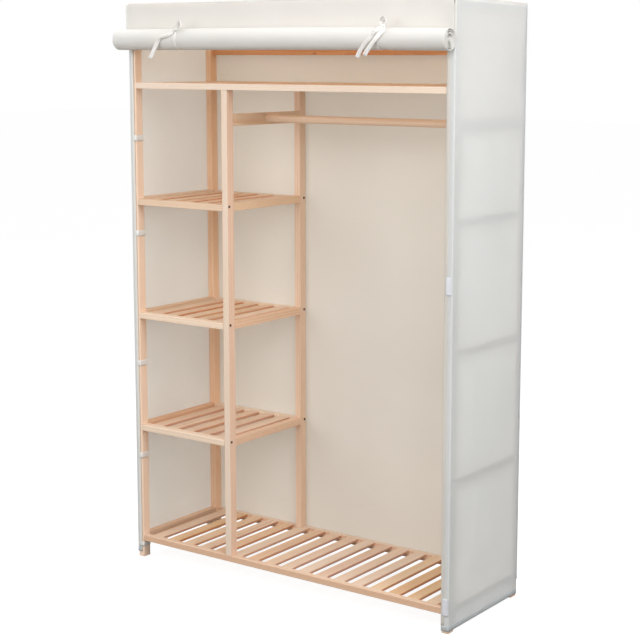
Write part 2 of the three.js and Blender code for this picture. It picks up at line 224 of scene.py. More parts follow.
# Painted shade: a deep orange copy of the pine for the rear stretcher, which lies in the shade under the
# roof, behind the roll
SHADED_STRETCHER_PINE = ("#E6B078", "#D6985A", "#96582C")
BASE_TOP = ("#F0D8BE", "#E2C09E", "#B07C54")
SLAT_PINE = ("#F1D8BF", "#DFB48C", "#B07850")

# Painted shade: darker, warmer tones of early and late wood for the faces that look sideways and get less
# light. A knot keeps its tone there.
SHADED_SIDE_WOOD = ("#F1CDAD", "#E4B48C")
BASE_SHADED_FACE = ("#E8C29C", "#DBAB80")
SLAT_SHADED_SIDE = ("#E3AF8C", "#CE8E69")

GRAIN_ORDER = {"x": ("Y", "Z", "X"), "y": ("X", "Z", "Y"), "z": ("X", "Y", "Z")}


def pine_figure(material, axis, tones, chance, shaded_side_tones=None, shaded_side_axis="X"):
    """Colour and height of pine with its grain along an axis. chance is a number for each board,
    which moves and turns the rings and shifts the tone. Faces that look along the given side axis
    take the given side tones: painted shade, darker and warmer where such faces get less light."""
    place = add(material, "ShaderNodeTexCoord")["Object"]
    parts = add(material, "ShaderNodeSeparateXYZ", [place])
    local = add(material, "ShaderNodeCombineXYZ", [parts[part] for part in GRAIN_ORDER[axis]])[0]
    board = add(material, "ShaderNodeTexWhiteNoise", {"W": chance}, noise_dimensions="1D")
    moved = add(material, "ShaderNodeVectorMath", [local, board["Color"]], operation="ADD")[0]
    turn = add(material, "ShaderNodeMath", [board["Value"], math.pi], operation="MULTIPLY")[0]
    turned = add(
        material,
        "ShaderNodeVectorRotate",
        {"Vector": moved, "Angle": turn},
        rotation_type="Z_AXIS",
    )[0]
    stretched, knot_place = [
        add(material, "ShaderNodeMapping", {"Vector": turned, "Scale": (1, 1, stretch)})[0]
        for stretch in (GRAIN_STRETCH, KNOT_STRETCH)
    ]
    rings = add(
        material,
        "ShaderNodeTexWave",
        {
            "Vector": stretched,
            "Scale": WAVE_PERIOD / RING_SPACING,
            "Distortion": 9,
            "Detail": 2,
            "Detail Scale": 0.35,
            "Detail Roughness": 0.5,
        },
        wave_profile="SAW",
    )["Fac"]
    fibres, clouds = [
        add(material, "ShaderNodeTexNoise", {"Vector": stretched, "Scale": 1 / size, "Detail": 2})["Fac"]
        for size in (FIBRE_WIDTH, WOOD_CLOUD_SIZE)
    ]
    latewood = add(material, "ShaderNodeMath", [rings, LATEWOOD_EDGE], operation="POWER")[0]
    ring_share = add(material, "ShaderNodeMapRange", [latewood, 0.0, 1.0, 0.0, LATEWOOD_SHARE])[0]
    shares = layered(
        material,
        ring_share,
        [clouds, 0.3, 0.7, -0.12, 0.3],
        [fibres, 0.3, 0.7, -0.12, 0.18],
        [board["Value"], 0.0, 1.0, -0.2, 0.35],
    )
    wood = add(material, "ShaderNodeMix", {0: shares, 6: tones[0], 7: tones[1]}, data_type="RGBA")[2]
    # Painted shade: faces that look along the given side axis take darker, warmer side tones
    if shaded_side_tones:
        normal = add(material, "ShaderNodeTexCoord")["Normal"]
        sideways = add(material, "ShaderNodeSeparateXYZ", [normal])[shaded_side_axis]
        sideways = add(material, "ShaderNodeMath", [sideways], operation="ABSOLUTE")[0]
        in_shaded_side = add(material, "ShaderNodeMapRange", [sideways, *SHADED_SIDE_FACING, 0.0, 1.0])[0]
        edge = add(
            material,
            "ShaderNodeMix",
            {0: shares, 6: shaded_side_tones[0], 7: shaded_side_tones[1]},
            data_type="RGBA",
        )[2]
        wood = add(material, "ShaderNodeMix", {0: in_shaded_side, 6: wood, 7: edge}, data_type="RGBA")[2]
    cast = add(material, "ShaderNodeSeparateColor", [board["Color"]])
    hue = add(material, "ShaderNodeMapRange", [cast[1], 0.0, 1.0, *BOARD_HUES])[0]
    saturation = add(material, "ShaderNodeMapRange", [cast[2], 0.0, 1.0, *BOARD_SATURATIONS])[0]
    wood = add(
        material,
        "ShaderNodeHueSaturation",
        {"Hue": hue, "Saturation": saturation, "Color": wood},
    )[0]
    distance = add(
        material,
        "ShaderNodeTexVoronoi",
        {"Vector": knot_place, "Scale": 1 / KNOT_SPACING, "Randomness": 1.0},
    )["Distance"]
    reach = KNOT_RADIUS / KNOT_SPACING
    knot = add(
        material,
        "ShaderNodeMapRange",
        [distance, KNOT_CORE * reach, reach, KNOT_STRENGTH, 0.0],
        interpolation_type="SMOOTHSTEP",
    )[0]
    colour = add(material, "ShaderNodeMix", {0: knot, 6: wood, 7: tones[2]}, data_type="RGBA")[2]
    height = add(material, "ShaderNodeMath", [fibres, ring_share], operation="SUBTRACT")[0]
    return colour, height


def finish_pine(material, colour, height):
    """Planed wood: shallow pores, and a little less gloss where the fibres stand up."""
    bump = add(
        material,
        "ShaderNodeBump",
        {"Height": height, "Strength": 0.25, "Distance": PORE_DEPTH},
    )[0]
    roughness = add(material, "ShaderNodeMapRange", [height, -0.4, 0.8, 0.62, 0.48])[0]
    shader = add(
        material,
        "ShaderNodeBsdfPrincipled",
        {"Base Color": colour, "Roughness": roughness, "Specular IOR Level": 0.35, "Normal": bump},
    )[0]
    add(material, "ShaderNodeOutputMaterial", {"Surface": shader})
    return material


def planed_pine(name, axis, tones, shaded_side_tones=None, shaded_side_axis="X"):
    material = empty_material(name)
    chance = add(material, "ShaderNodeObjectInfo")["Random"]
    return finish_pine(material, *pine_figure(material, axis, tones, chance, shaded_side_tones, shaded_side_axis))


def shelf_pine(name, node, slat_count, rail_tones):
    """A glued shelf: grain along X in its two rails and along Y in its slats, each of which is
    another board."""
    low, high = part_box(node)
    pitch = (high.x - low.x + SLAT_GAP) / slat_count
    material = empty_material(name)
    place = add(material, "ShaderNodeTexCoord")["Object"]
    parts = add(material, "ShaderNodeSeparateXYZ", [place])
    chance = parts["X"]
    for value, operation in (
        (low.x, "SUBTRACT"),
        (pitch, "DIVIDE"),
        (0.0, "FLOOR"),
        (SLAT_CHANCE + low.z, "ADD"),
    ):
        chance = add(material, "ShaderNodeMath", [chance, value], operation=operation)[0]
    # The slats' sides take painted shade
    slats = pine_figure(material, "y", SLAT_PINE, chance, SLAT_SHADED_SIDE)
    rail_chance = add(material, "ShaderNodeObjectInfo")["Random"]
    rails = pine_figure(material, "x", rail_tones, rail_chance)
    in_rail = parts["Y"]
    for value, operation in (
        ((low.y + high.y) / 2, "SUBTRACT"),
        (0.0, "ABSOLUTE"),
        ((high.y - low.y) / 2 - RAIL_DEPTH, "GREATER_THAN"),
    ):
        in_rail = add(material, "ShaderNodeMath", [in_rail, value], operation=operation)[0]
    colour = add(material, "ShaderNodeMix", {0: in_rail, 6: slats[0], 7: rails[0]}, data_type="RGBA")[2]
    height = add(material, "ShaderNodeMix", {0: in_rail, 2: slats[1], 3: rails[1]})[0]
    return finish_pine(material, colour, height)


# Woven polyester. The face is matt off-white with a fine plain weave; the back carries a thin
# cream coating, smoother and warmer. Thin enough for some light to come through. The weave is
# drawn four times coarser than the real 0.45 mm threads, or it would not show at all.
THREAD_PITCH = 1.8 * MM
THREAD_DEPTH = 0.25 * MM
SLUB_SPACING = 3.846 * MM  # between thick places in the threads
CREASE_SPACING = 111.1 * MM
CREASE_DEPTH = 6 * MM
CLOTH_CLOUD_SIZE = 384.6 * MM  # of soft patches of the shaded tone


def woven_cloth(name, face, shade, through=0.42, glow=None, weave=0.5, pitch=THREAD_PITCH):
    """through is the share of the light that passes, and glow is the colour that it then has, if
    not the cloth's own."""
    material = empty_material(name)
    flat = add(material, "ShaderNodeUVMap", uv_map="cloth")[0]
    threads = [
        add(
            material,
            "ShaderNodeTexWave",
            {
                "Vector": flat,
                "Scale": WAVE_PERIOD / pitch,
                "Distortion": 0.6,
                "Detail": 1,
                "Detail Scale": 0.3,
            },
            bands_direction=direction,
        )["Fac"]
        for direction in ("X", "Y")
    ]
    crossing = add(material, "ShaderNodeMath", threads, operation="MULTIPLY")[0]
    slubs, creases, clouds = [
        add(material, "ShaderNodeTexNoise", {"Vector": flat, **look})["Fac"]
        for look in (
            {"Scale": 1 / SLUB_SPACING, "Detail": 3, "Roughness": 0.6},
            {"Scale": 1 / CREASE_SPACING, "Detail": 3, "Roughness": 0.55, "Distortion": 0.4},
            {"Scale": 1 / CLOTH_CLOUD_SIZE, "Detail": 2},
        )
    ]
    shares = add(material, "ShaderNodeMapRange", [clouds, 0.3, 0.7, 0.0, 0.5])[0]
    # Painted shade in the gaps between the threads, which take up to 0.3 more of the second tone; the soft
    # patches and slubs are the cloth's own uneven tone
    shares = layered(material, shares, [crossing, 0.0, 1.0, 0.3, 0.0], [slubs, 0.35, 0.65, -0.12, 0.2])
    colour = add(material, "ShaderNodeMix", {0: shares, 6: face, 7: shade}, data_type="RGBA")[2]
    weave_bump = add(
        material,
        "ShaderNodeBump",
        {"Height": crossing, "Strength": weave, "Distance": THREAD_DEPTH},
    )[0]
    bump = add(
        material,
        "ShaderNodeBump",
        {"Height": creases, "Strength": 0.35, "Distance": CREASE_DEPTH, "Normal": weave_bump},
    )[0]
    shader = add(
        material,
        "ShaderNodeBsdfPrincipled",
        {
            "Base Color": colour,
            "Roughness": 0.85,
            "Specular IOR Level": 0.2,
            "Sheen Weight": 0.08,
            "Sheen Roughness": 0.5,
            "Normal": bump,
        },
    )[0]
    passed = add(material, "ShaderNodeBsdfTranslucent", {"Color": glow or colour, "Normal": bump})[0]
    surface = add(material, "ShaderNodeMixShader", [through, shader, passed])[0]
    add(material, "ShaderNodeOutputMaterial", {"Surface": surface})
    return material


# Sewing thread is pale and matt, and blackened steel has a dim, brownish gloss. Both are small,
# and fine specks keep them from looking flat.
SPECK_SIZE = 1.4286 * MM
SPECK_DEPTH = 0.1 * MM


def small_finish(name, colour, shade, roughness, metallic=0.0):
    material = empty_material(name)
    place = add(material, "ShaderNodeTexCoord")["Object"]
    specks = add(
        material,
        "ShaderNodeTexNoise",
        {"Vector": place, "Scale": 1 / SPECK_SIZE, "Detail": 2},
    )["Fac"]
    tone = add(material, "ShaderNodeMix", {0: specks, 6: colour, 7: shade}, data_type="RGBA")[2]
    bump = add(
        material,
        "ShaderNodeBump",
        {"Height": specks, "Strength": 0.2, "Distance": SPECK_DEPTH},
    )[0]
    shader = add(
        material,
        "ShaderNodeBsdfPrincipled",
        {"Base Color": tone, "Roughness": roughness, "Metallic": metallic, "Normal": bump},
    )[0]
    add(material, "ShaderNodeOutputMaterial", {"Surface": shader})
    return material


# Each cloth's own tone, and a second tone for its soft patches and slubs and for the painted shade in the
# gaps between its threads
FACE_TONES = ("#F2F5F6", "#E9EDEE")  # a cool, matt white
BACK_TONES = ("#F4F0EA", "#ECE7DF")  # the cream of the coating
SHADED_HEM_TONES = ("#E3E6E7", "#DADDDE")  # painted shade: a greyer copy of the face cloth for the bottom hems of the walls
PAINTED_LIGHT_STRIP_HEM_TONES = ("#F8F6F1", "#F0EDE6")  # painted light: a brighter copy of the coating for the left strip's hem, which gets little light
REAR_TONES = ("#F0EEE9", "#E7E4DD")  # a cooler copy of the coating, tuned to the light deep in the wardrobe; its warm passed light is painted light
DOOR_TONES = ("#F6F4F1", "#EEECE7")  # a warm white
COTTON_TONES = ("#FBF9F6", "#F1EEE9")  # bleached cotton, with a coarser weave that shows
PATCH_TONES = ("#EFF0F6", "#DEDFE6")  # bluish nylon, whose pile takes the light unevenly
SLIT_SHADOW_TONES = ("#ABA9A7", "#9A9896")  # painted shadow: a grey sheet for the dark line of the shaded slit
COATED = 0.25  # strength of the weave under the coating
TAPE_PITCH = 1.2 * MM
LOOP_PITCH = 1.5 * MM

cover_face = woven_cloth("woven_polyester_cover_face", *FACE_TONES)
cover_back = woven_cloth("coated_back_of_the_cover", *BACK_TONES, weave=COATED)
# Painted shade: the walls' bottom hems take a greyer copy of the face cloth
shaded_wall_hem_cloth = woven_cloth("woven_polyester_hem_painted_shade", *SHADED_HEM_TONES)
# Painted light: the left strip's hem takes a brighter copy of the coating
painted_light_strip_hem_cloth = woven_cloth("folded_hem_of_the_left_strip_painted_light", *PAINTED_LIGHT_STRIP_HEM_TONES, through=0.12, weave=COATED)
# Painted light: the rear panel's passed light is tinted warm, standing in for light thrown back by the
# wood
rear_lining = woven_cloth("coated_back_of_the_rear_panel", *REAR_TONES, glow="#EFE1D1", weave=COATED)
roof_face = woven_cloth("woven_polyester_roof_face", *FACE_TONES, through=0.6)
# Painted light: the roof's passed light is tinted warm, standing in for the warm light over the top shelf
roof_back = woven_cloth("coated_back_of_the_roof", *BACK_TONES, through=0.6, glow="#F5DABC", weave=COATED)
door_cloth = woven_cloth("woven_polyester_door", *DOOR_TONES, through=0.3)
cotton_tape = woven_cloth("cotton_tape", *COTTON_TONES, through=0.06, weave=0.8, pitch=TAPE_PITCH)
hook_and_loop = woven_cloth("hook_and_loop_tape", *PATCH_TONES, through=0.0, weave=1.0, pitch=LOOP_PITCH)
# Painted shadow: a grey sheet stands for the shaded slit beside the band
slit_shadow_cloth = woven_cloth("fastening_tape", *SLIT_SHADOW_TONES, through=0.0, weave=1.0, pitch=TAPE_PITCH)
thread = small_finish("polyester_thread", "#DEDAD0", "#CFCABF", 0.6)
blackened_steel = small_finish("blackened_steel", "#6A5C52", "#4C4038", 0.45, metallic=1.0)


# Timber

def dress_timber():
    """Each node of timber gets wood whose grain runs along it."""
    # Painted shade: the uprights' sides, the base rails' front and rear faces and the slats' sides take
    # darker, warmer tones
    upright = planed_pine("planed_pine_upright", "z", FACE_WOOD, SHADED_SIDE_WOOD)
    plain_upright = planed_pine("planed_pine_upright_plain", "z", SAPWOOD)
    painted_light_upright = planed_pine("planed_pine_upright_painted_light", "z", PAINTED_LIGHT_SAPWOOD)
    shaded_rear_upright = planed_pine("planed_pine_upright_painted_shade", "z", SHADED_REAR_SAPWOOD)
    rung = planed_pine("planed_pine_front_to_back", "y", WARM_SAPWOOD)
    rail = planed_pine("planed_pine_across", "x", SAPWOOD)
    shaded_stretcher = planed_pine("pine_across_painted_shade", "x", SHADED_STRETCHER_PINE)
    base_rail = planed_pine("planed_pine_base_rail", "x", BASE_TOP, BASE_SHADED_FACE, shaded_side_axis="Y")
    pole = planed_pine("turned_pine_pole", "x", POLE_WOOD)
    slat = planed_pine("planed_pine_slat", "y", SLAT_PINE, SLAT_SHADED_SIDE)
    woods = {
        "middle_front_post": upright,
        "front_right_post": plain_upright,
        "middle_rear_post": plain_upright,
        "front_left_post": painted_light_upright,
        "rear_left_post": shaded_rear_upright,
        "rear_right_post": shaded_rear_upright,
        "top_front_rail": rail,
        "top_rear_rail": rail,
        "base_front_rail": base_rail,
        "base_rear_rail": base_rail,
        "hanging_pole": pole,
        "rear_stretcher": shaded_stretcher,
        "top_shelf": shelf_pine("glued_pine_top_shelf", "top_shelf", 17, PALE_SAPWOOD),
        "upper_shelf": shelf_pine("glued_pine_upper_shelf", "upper_shelf", 5, SHELF_WOOD),
        "middle_shelf": shelf_pine("glued_pine_middle_shelf", "middle_shelf", 5, SAPWOOD),
        "lower_shelf": shelf_pine("glued_pine_lower_shelf", "lower_shelf", 5, SAPWOOD),
    }
    woods.update({node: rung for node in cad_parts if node.endswith("_rung")})
    woods.update({node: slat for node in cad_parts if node.startswith("base_slat_")})
    for node, wood in woods.items():
        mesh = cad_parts[node].data
        mesh.materials.clear()
        mesh.materials.append(wood)


# Making pieces

def smooth(value):
    """0 below 0, 1 above 1, and a soft step between."""
    share = min(1.0, max(0.0, value))
    return share * share * (3 - 2 * share)


def bell(distance, width):
    return math.exp(-((distance / width) ** 2))


def steps(low, high, count):
    return [low + (high - low) * i / count for i in range(count + 1)]


def wander(x, y, z):
    """Smooth noise about zero. Each of the three is a length times the waves for each metre, or a
    number that makes this noise another one."""
    return noise.noise(Vector((x, y, z)))


def part_way(ends, share):
    return ends[0] + (ends[1] - ends[0]) * share


def grid_faces(rows, columns, closed=False):
    """Faces between the points of a grid that is listed row by row. closed joins each row's end
    to its start."""
    faces = []
    for row in range(rows - 1):
        for column in range(columns if closed else columns - 1):
            a = row * columns + column
            b = row * columns + (column + 1) % columns
            faces.append((a, b, b + columns, a + columns))
    return faces


def make_piece(name, vertices, faces, finishes, flat=None, body="root"):
    """A smooth mesh piece. flat gives each vertex its place on the cut cloth, in metres."""
    mesh = bpy.data.meshes.new(name)
    mesh.from_pydata(vertices, [], faces)
    if flat:
        layer = mesh.uv_layers.new(name="cloth")
        for loop in mesh.loops:
            layer.data[loop.index].uv = flat[loop.vertex_index]
    for finish in finishes:
        mesh.materials.append(finish)
    mesh.shade_smooth()
    piece = put(name, mesh)
    if body:
        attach(piece, body)
    return piece


def make_sheet(name, across, along, place, finishes, thickness, body="root", flip=False, hem=None):
    """Cloth over a grid of distances on the cut sheet. place(s, t) is where that point hangs, and
    hem(s, t), if given, is 1 where the cloth is a hem and 0 where it is a single layer."""
    vertices = [place(s, t) for t in along for s in across]
    flat = [(s, t) for t in along for s in across]
    faces = grid_faces(len(along), len(across))
    if flip:
        faces = [corners[::-1] for corners in faces]
    piece = make_piece(name, vertices, faces, finishes, flat, body)
    if hem:
        layers = piece.vertex_groups.new(name="layers")
        for index, (s, t) in enumerate(flat):
            layers.add([index], (1 + (HEM_LAYERS - 1) * hem(s, t)) / HEM_LAYERS, "REPLACE")
    thicken(piece, thickness, len(finishes) > 1, bool(hem))
    return piece


def thicken(piece, thickness, two_faced=False, layered=False):
    solid = piece.modifiers.new("thickness", "SOLIDIFY")
    solid.thickness = thickness
    if layered:
        solid.thickness = thickness * HEM_LAYERS
        solid.vertex_group = "layers"
    solid.offset = 0
    if two_faced:
        solid.material_offset = 1
    settle(piece)


def settle(piece):
    """Replaces the piece's mesh by what its modifiers make of it."""
    evaluated = piece.evaluated_get(bpy.context.evaluated_depsgraph_get())
    mesh = bpy.data.meshes.new_from_object(evaluated)
    piece.modifiers.clear()
    piece.data = mesh


def make_stitches(name, rows, body="root"):
    """Rows of short raised stitches. Each row is a list of (point, outward direction)."""
    vertices = []
    faces = []
    for row in rows:
        for (start, out), (end, _) in zip(row[::2], row[1::2]):
            along = end - start
            side = along.cross(out).normalized() * STITCH_RADIUS
            lift = out.normalized() * STITCH_RADIUS
            middle = (start + end) / 2
            first = len(vertices)
            vertices += [start, end, middle + side, middle - side, middle + lift * STITCH_RIDGE]
            for corners in ((0, 2, 4), (2, 1, 4), (1, 3, 4), (3, 0, 4), (0, 3, 2), (1, 2, 3)):
                faces.append([first + corner for corner in corners])
    return make_piece(name, vertices, faces, [thread], body=body)


def stitch_row(path, length):
    """Starts and ends of the stitches along a path, which gives a point and a direction at a
    distance."""
    count = int(length / STITCH_PITCH)
    row = []
    for i in range(count):
        start = (i + 0.5) * length / count - STITCH_LENGTH / 2
        row += [path(start), path(start + STITCH_LENGTH)]
    return row


# Side walls of the cover

RUNG_LEVELS = ("base", "lower", "middle", "upper", "pole", "top")
WALL_BOW = {-1: 2.4 * MM, 1: 0.6 * MM}  # how far the cloth sinks in between the rungs
BOW_START = 0.09  # shares of the way to the next rung in which the bow comes and goes
BOW_END = 0.12
BOW_LOSS = 0.75  # the share of it that is lost on the way
WALL_WRINKLE = {-1: 1.2 * MM, 1: 0.3 * MM}
WRINKLE_MIDDLE = 0.8  # wrinkles swing about this share of their depth, so most go inwards
WRINKLE_GROWTH = 2.5  # how much sooner than the bow they are full, on the way down from a rung
FREE_SPREAD = 0.7  # below 1, the cloth is free almost up to the posts
STRIP_RIPPLE = 0.35 * MM
STRIP_CALM_Z = 1.2  # the return strip is flat above this
STRIP_RIPPLE_FADE = 0.8  # and its ripples grow over this, downwards
STRIP_HEM_WIDTH = 9 * MM
STRIP_HEM_BEYOND = 0.6 * MM  # how far the strip's hem passes its cloth
STRIP_STITCH_INSET = 6.5 * MM
WALL_HEM_PROUD = COVER_THICKNESS * 0.65
WALL_STITCH_PROUD = WALL_HEM_PROUD + HEM_THICKNESS / 2
LEFT_HEM_RISE = 9 * MM  # the left wall's hem is pulled up towards the front
LEFT_HEM_TUCK = 34 * MM  # and further up between its posts
HEM_PULL_HEIGHT = 0.3  # over which the cloth takes this up
LEFT_STRIP_CUT = 6.5 * MM  # the left return strip is this much narrower than the right one
FRONT_RISE = 9 * MM  # the roof's front seam stands this far above the frame
RISE_FOOT = 1.45  # height at which the cover begins to stretch up to it


def rise(y, z):
    """How much higher a place of the cover lies because of the raised front seam."""
    forward = min(1.0, max(0.0, (wall_rear - y) / (wall_rear - wall_front)))
    return FRONT_RISE * forward * max(0.0, (z - RISE_FOOT) / (roof_z - RISE_FOOT))


def rung_edges(side):
    """Lower and upper edge of each rung of a side frame, from the base up."""
    label = {-1: "left", 1: "right"}[side]
    rungs = [f"{label}_{level}_rung" for level in RUNG_LEVELS]
    boxes = [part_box(rung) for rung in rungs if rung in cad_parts]
    return [(low.z, high.z) for low, high in boxes]


def bow_share(edges, z):
    """How much of the full bow the cloth has at a height: a quick fall under each rung and a slow
    return to the next one below."""
    for (_, below), (above, _) in zip(edges, edges[1:]):
        if below < z < above:
            down = (above - z) / (above - below)
            return smooth(down / BOW_START) * (1 - BOW_LOSS * down) * smooth((1 - down) / BOW_END)
    return 0.0


class SideWall:
    """The plan path of a side panel: from its rear edge forward, round the front post, and inwards
    to the free edge of the return strip."""

    def __init__(self, side):
        self.side = side
        self.edges = rung_edges(side)
        self.wall = wall_rear - CORNER_RADIUS - (wall_front + CORNER_RADIUS)
        self.strip = wall_x - CORNER_RADIUS - strip_edge_x - (LEFT_STRIP_CUT if side < 0 else 0.0)
        self.length = self.wall + corner_turn + self.strip

    def plan(self, s):
        """Point and outward direction in plan, for the right wall."""
        if s < self.wall:
            return (wall_x, wall_rear - CORNER_RADIUS - s), (1.0, 0.0)
        if s < self.wall + corner_turn:
            angle = (s - self.wall) / CORNER_RADIUS
            centre = (wall_x - CORNER_RADIUS, wall_front + CORNER_RADIUS)
            out = (math.cos(angle), -math.sin(angle))
            return (centre[0] + CORNER_RADIUS * out[0], centre[1] + CORNER_RADIUS * out[1]), out
        return (wall_x - CORNER_RADIUS - (s - self.wall - corner_turn), wall_front), (0.0, -1.0)

    def between_posts(self, y):
        low = frame_front + POST_DEPTH
        high = frame_rear - POST_DEPTH
        share = (y - low) / (high - low)
        return math.sin(math.pi * share) ** FREE_SPREAD if 0 < share < 1 else 0.0

    def inwards(self, s, y, z):
        if s > self.wall:
            ripple = wander(s * 30, z * 7, 4.0 + self.side)
            return -STRIP_RIPPLE - STRIP_RIPPLE * ripple * smooth((STRIP_CALM_Z - z) / STRIP_RIPPLE_FADE)
        share = bow_share(self.edges, z)
        slant = wander(y * 5 + z * 2.2, z * 4.4 - y * 2.0, 7.0 * self.side)
        wrinkle = WALL_WRINKLE[self.side] * (WRINKLE_MIDDLE + slant)
        bow = WALL_BOW[self.side] * share
        return self.between_posts(y) * (bow + wrinkle * min(1.0, share * WRINKLE_GROWTH))

    def place(self, s, t, proud=0.0):
        (x, y), (out_x, out_y) = self.plan(s)
        z = hem_z + t
        if self.side < 0:
            pull = LEFT_HEM_RISE * smooth(s / self.wall) + LEFT_HEM_TUCK * self.between_posts(y)
            z += pull * (1 - smooth(t / HEM_PULL_HEIGHT))
        shift = proud - self.inwards(s, y, z)
        x += out_x * shift
        y += out_y * shift
        return Vector((self.side * x, y, z + rise(y, z)))

    def outward(self, s):
        _, (out_x, out_y) = self.plan(s)
        return Vector((self.side * out_x, out_y, 0.0))

    def columns(self):
        corner = steps(self.wall, self.wall + corner_turn, 5)
        strip = steps(corner[-1], self.length, 5)[1:]
        return steps(0.0, self.wall, 46)[:-1] + corner + strip


def make_side_wall(side):
    label = {-1: "left", 1: "right"}[side]
    wall = SideWall(side)
    height = wall_top - hem_z
    cloth = make_sheet(
        f"{label}_wall_cloth",
        wall.columns(),
        steps(0.0, height, 210),
        wall.place,
        [cover_face, cover_back],
        COVER_THICKNESS,
        flip=side > 0,
    )
    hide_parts(f"{label}_side_panel")
    hem = make_sheet(
        f"{label}_wall_hem",
        wall.columns(),
        steps(0.0, HEM_WIDTH, 3),
        lambda s, t: wall.place(s, t - HEM_DROP, WALL_HEM_PROUD),
        [shaded_wall_hem_cloth],
        HEM_THICKNESS,
        flip=side > 0,
    )
    edge = make_sheet(
        f"{label}_strip_hem",
        steps(wall.length - STRIP_HEM_WIDTH, wall.length + STRIP_HEM_BEYOND, 3),
        steps(HEM_WIDTH, height, 160),
        lambda s, t: wall.place(s, t, WALL_HEM_PROUD),
        [cover_back if side > 0 else painted_light_strip_hem_cloth],
        HEM_THICKNESS,
        flip=side > 0,
    )
    bottom_row = stitch_row(
        lambda d: (wall.place(d, HEM_WIDTH - HEM_STITCH_INSET, WALL_STITCH_PROUD), wall.outward(d)),
        wall.length - ROW_END,
    )
    edge_s = wall.length - STRIP_STITCH_INSET
    edge_row = stitch_row(
        lambda d: (wall.place(edge_s, HEM_WIDTH + d, WALL_STITCH_PROUD), wall.outward(wall.length)),
        height - HEM_WIDTH - ROW_END,
    )
    make_stitches(f"{label}_wall_stitches", [bottom_row, edge_row])


# Back of the cover

BACK_TUCK = 4 * MM  # how far the back panel runs forward round each rear corner
BACK_WAVE = 1.0 * MM
BACK_WAVE_MIDDLE = 0.7  # the wave swings about this share of its depth
BACK_CALM_SIDE = 0.05  # the wave dies out over this towards the sides
BACK_CALM_TOP = 0.03  # and over this towards the roof
BACK_HEM_PROUD = COVER_THICKNESS * 0.8
BACK_STITCH_PROUD = COVER_THICKNESS * 1.15
CORNER_STITCH_PROUD = 0.5 * MM
CORNER_STITCH_INSET = 1.5 * MM

back_reach = wall_x + COVER_THICKNESS
back_half = BACK_TUCK + corner_turn + (back_reach - CORNER_RADIUS)


def back_place(s, t, proud=0.0):
    """s runs from the left end of the back panel, which turns a little round both rear corners."""
    from_middle = s - back_half
    side = -1 if from_middle < 0 else 1
    distance = abs(from_middle)
    straight = back_reach - CORNER_RADIUS
    z = back_hem_z + t
    if distance <= straight:
        calm = smooth((straight - distance) / BACK_CALM_SIDE) * smooth((wall_top - z) / BACK_CALM_TOP)
        drift = wander(s * 3.2, z * 2.1, 3.3) + 0.5 * wander(s * 9, z * 3, 8.8)
        wave = BACK_WAVE * calm * (BACK_WAVE_MIDDLE + drift)
        return Vector((side * distance, back_y + wave + proud, z))
    behind = back_y - CORNER_RADIUS
    if distance <= straight + corner_turn:
        angle = (distance - straight) / CORNER_RADIUS
        x = straight + (CORNER_RADIUS + proud) * math.sin(angle)
        y = behind + (CORNER_RADIUS + proud) * math.cos(angle)
        return Vector((side * x, y, z))
    return Vector((side * (back_reach + proud), behind - (distance - straight - corner_turn), z))


def make_back():
    width = 2 * back_half
    height = wall_top - back_hem_z
    ends = steps(0.0, BACK_TUCK + corner_turn, 6)
    middle = steps(ends[-1], width - ends[-1], 110)[1:-1]
    across = ends + middle + [width - s for s in reversed(ends)]
    cloth = make_sheet(
        "back_cloth",
        across,
        steps(0.0, height, 136),
        back_place,
        [cover_face, rear_lining],
        COVER_THICKNESS,
        flip=True,
    )
    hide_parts("back_panel")
    hem = make_sheet(
        "back_hem",
        across,
        steps(0.0, HEM_WIDTH, 3),
        lambda s, t: back_place(s, t - HEM_DROP, BACK_HEM_PROUD),
        [cover_face],
        HEM_THICKNESS,
        flip=True,
    )
    stitch_t = HEM_WIDTH - HEM_STITCH_INSET
    bottom_row = stitch_row(
        lambda d: (back_place(ends[-1] + d, stitch_t, BACK_STITCH_PROUD), Vector((0, 1, 0))),
        width - 2 * ends[-1],
    )
    corner_x = back_reach + CORNER_STITCH_PROUD
    corner_y = back_y - CORNER_RADIUS - CORNER_STITCH_INSET
    corner_rows = [
        stitch_row(
            lambda d, side=side: (
                Vector((side * corner_x, corner_y, back_hem_z + d)),
                Vector((side, 0, 0)),
            ),
            height,
        )
        for side in (-1, 1)
    ]
    make_stitches("back_stitches", [bottom_row, *corner_rows])


# Roof of the cover

ROOF_SAG = 7 * MM
ROOF_SEAM = 4 * MM  # the row of stitches lies this far in from the rounded edge
ROOF_RIPPLE = 1.2 * MM
ROOF_CALM = 0.05  # the ripples grow over this, inwards from the rails
ROOF_LEVELS = (0.07, 0.12, 0.19, 0.28, 0.4, 0.55, 0.72, 0.9)  # shares of the way to the middle
ROOF_LEAST_RADIUS = 0.5 * MM
SPINE_HALF = 0.37  # the middle line, in which the long sides meet, ends this far from the centre
SPINE_STEPS = 40


def roof_outline(inset):
    """Points round the roof at a distance in from its edge, counterclockwise from the front left."""
    half = wall_x - inset
    front = band_y + (COVER_THICKNESS - DOOR_CLOTH_THICKNESS) / 2 + inset
    rear = back_y - inset
    radius = max(ROOF_LEAST_RADIUS, CORNER_RADIUS - inset)
    corners = [(-half, front, 180), (half, front, 270), (half, rear, 0), (-half, rear, 90)]
    arcs = []
    for x, y, start in corners:
        centre_x = x - math.copysign(radius, x)
        centre_y = y + radius if y == front else y - radius
        turns = [math.radians(angle) for angle in steps(start, start + 90, 5)]
        arcs.append(
            [(centre_x + radius * math.cos(turn), centre_y + radius * math.sin(turn)) for turn in turns]
        )
    points = []
    for i, arc in enumerate(arcs):
        following = arcs[(i + 1) % 4][0]
        points += arc
        for share in steps(0.0, 1.0, 20 if i % 2 else 60)[1:-1]:
            points.append(tuple(a + (b - a) * share for a, b in zip(arc[-1], following)))
    return points


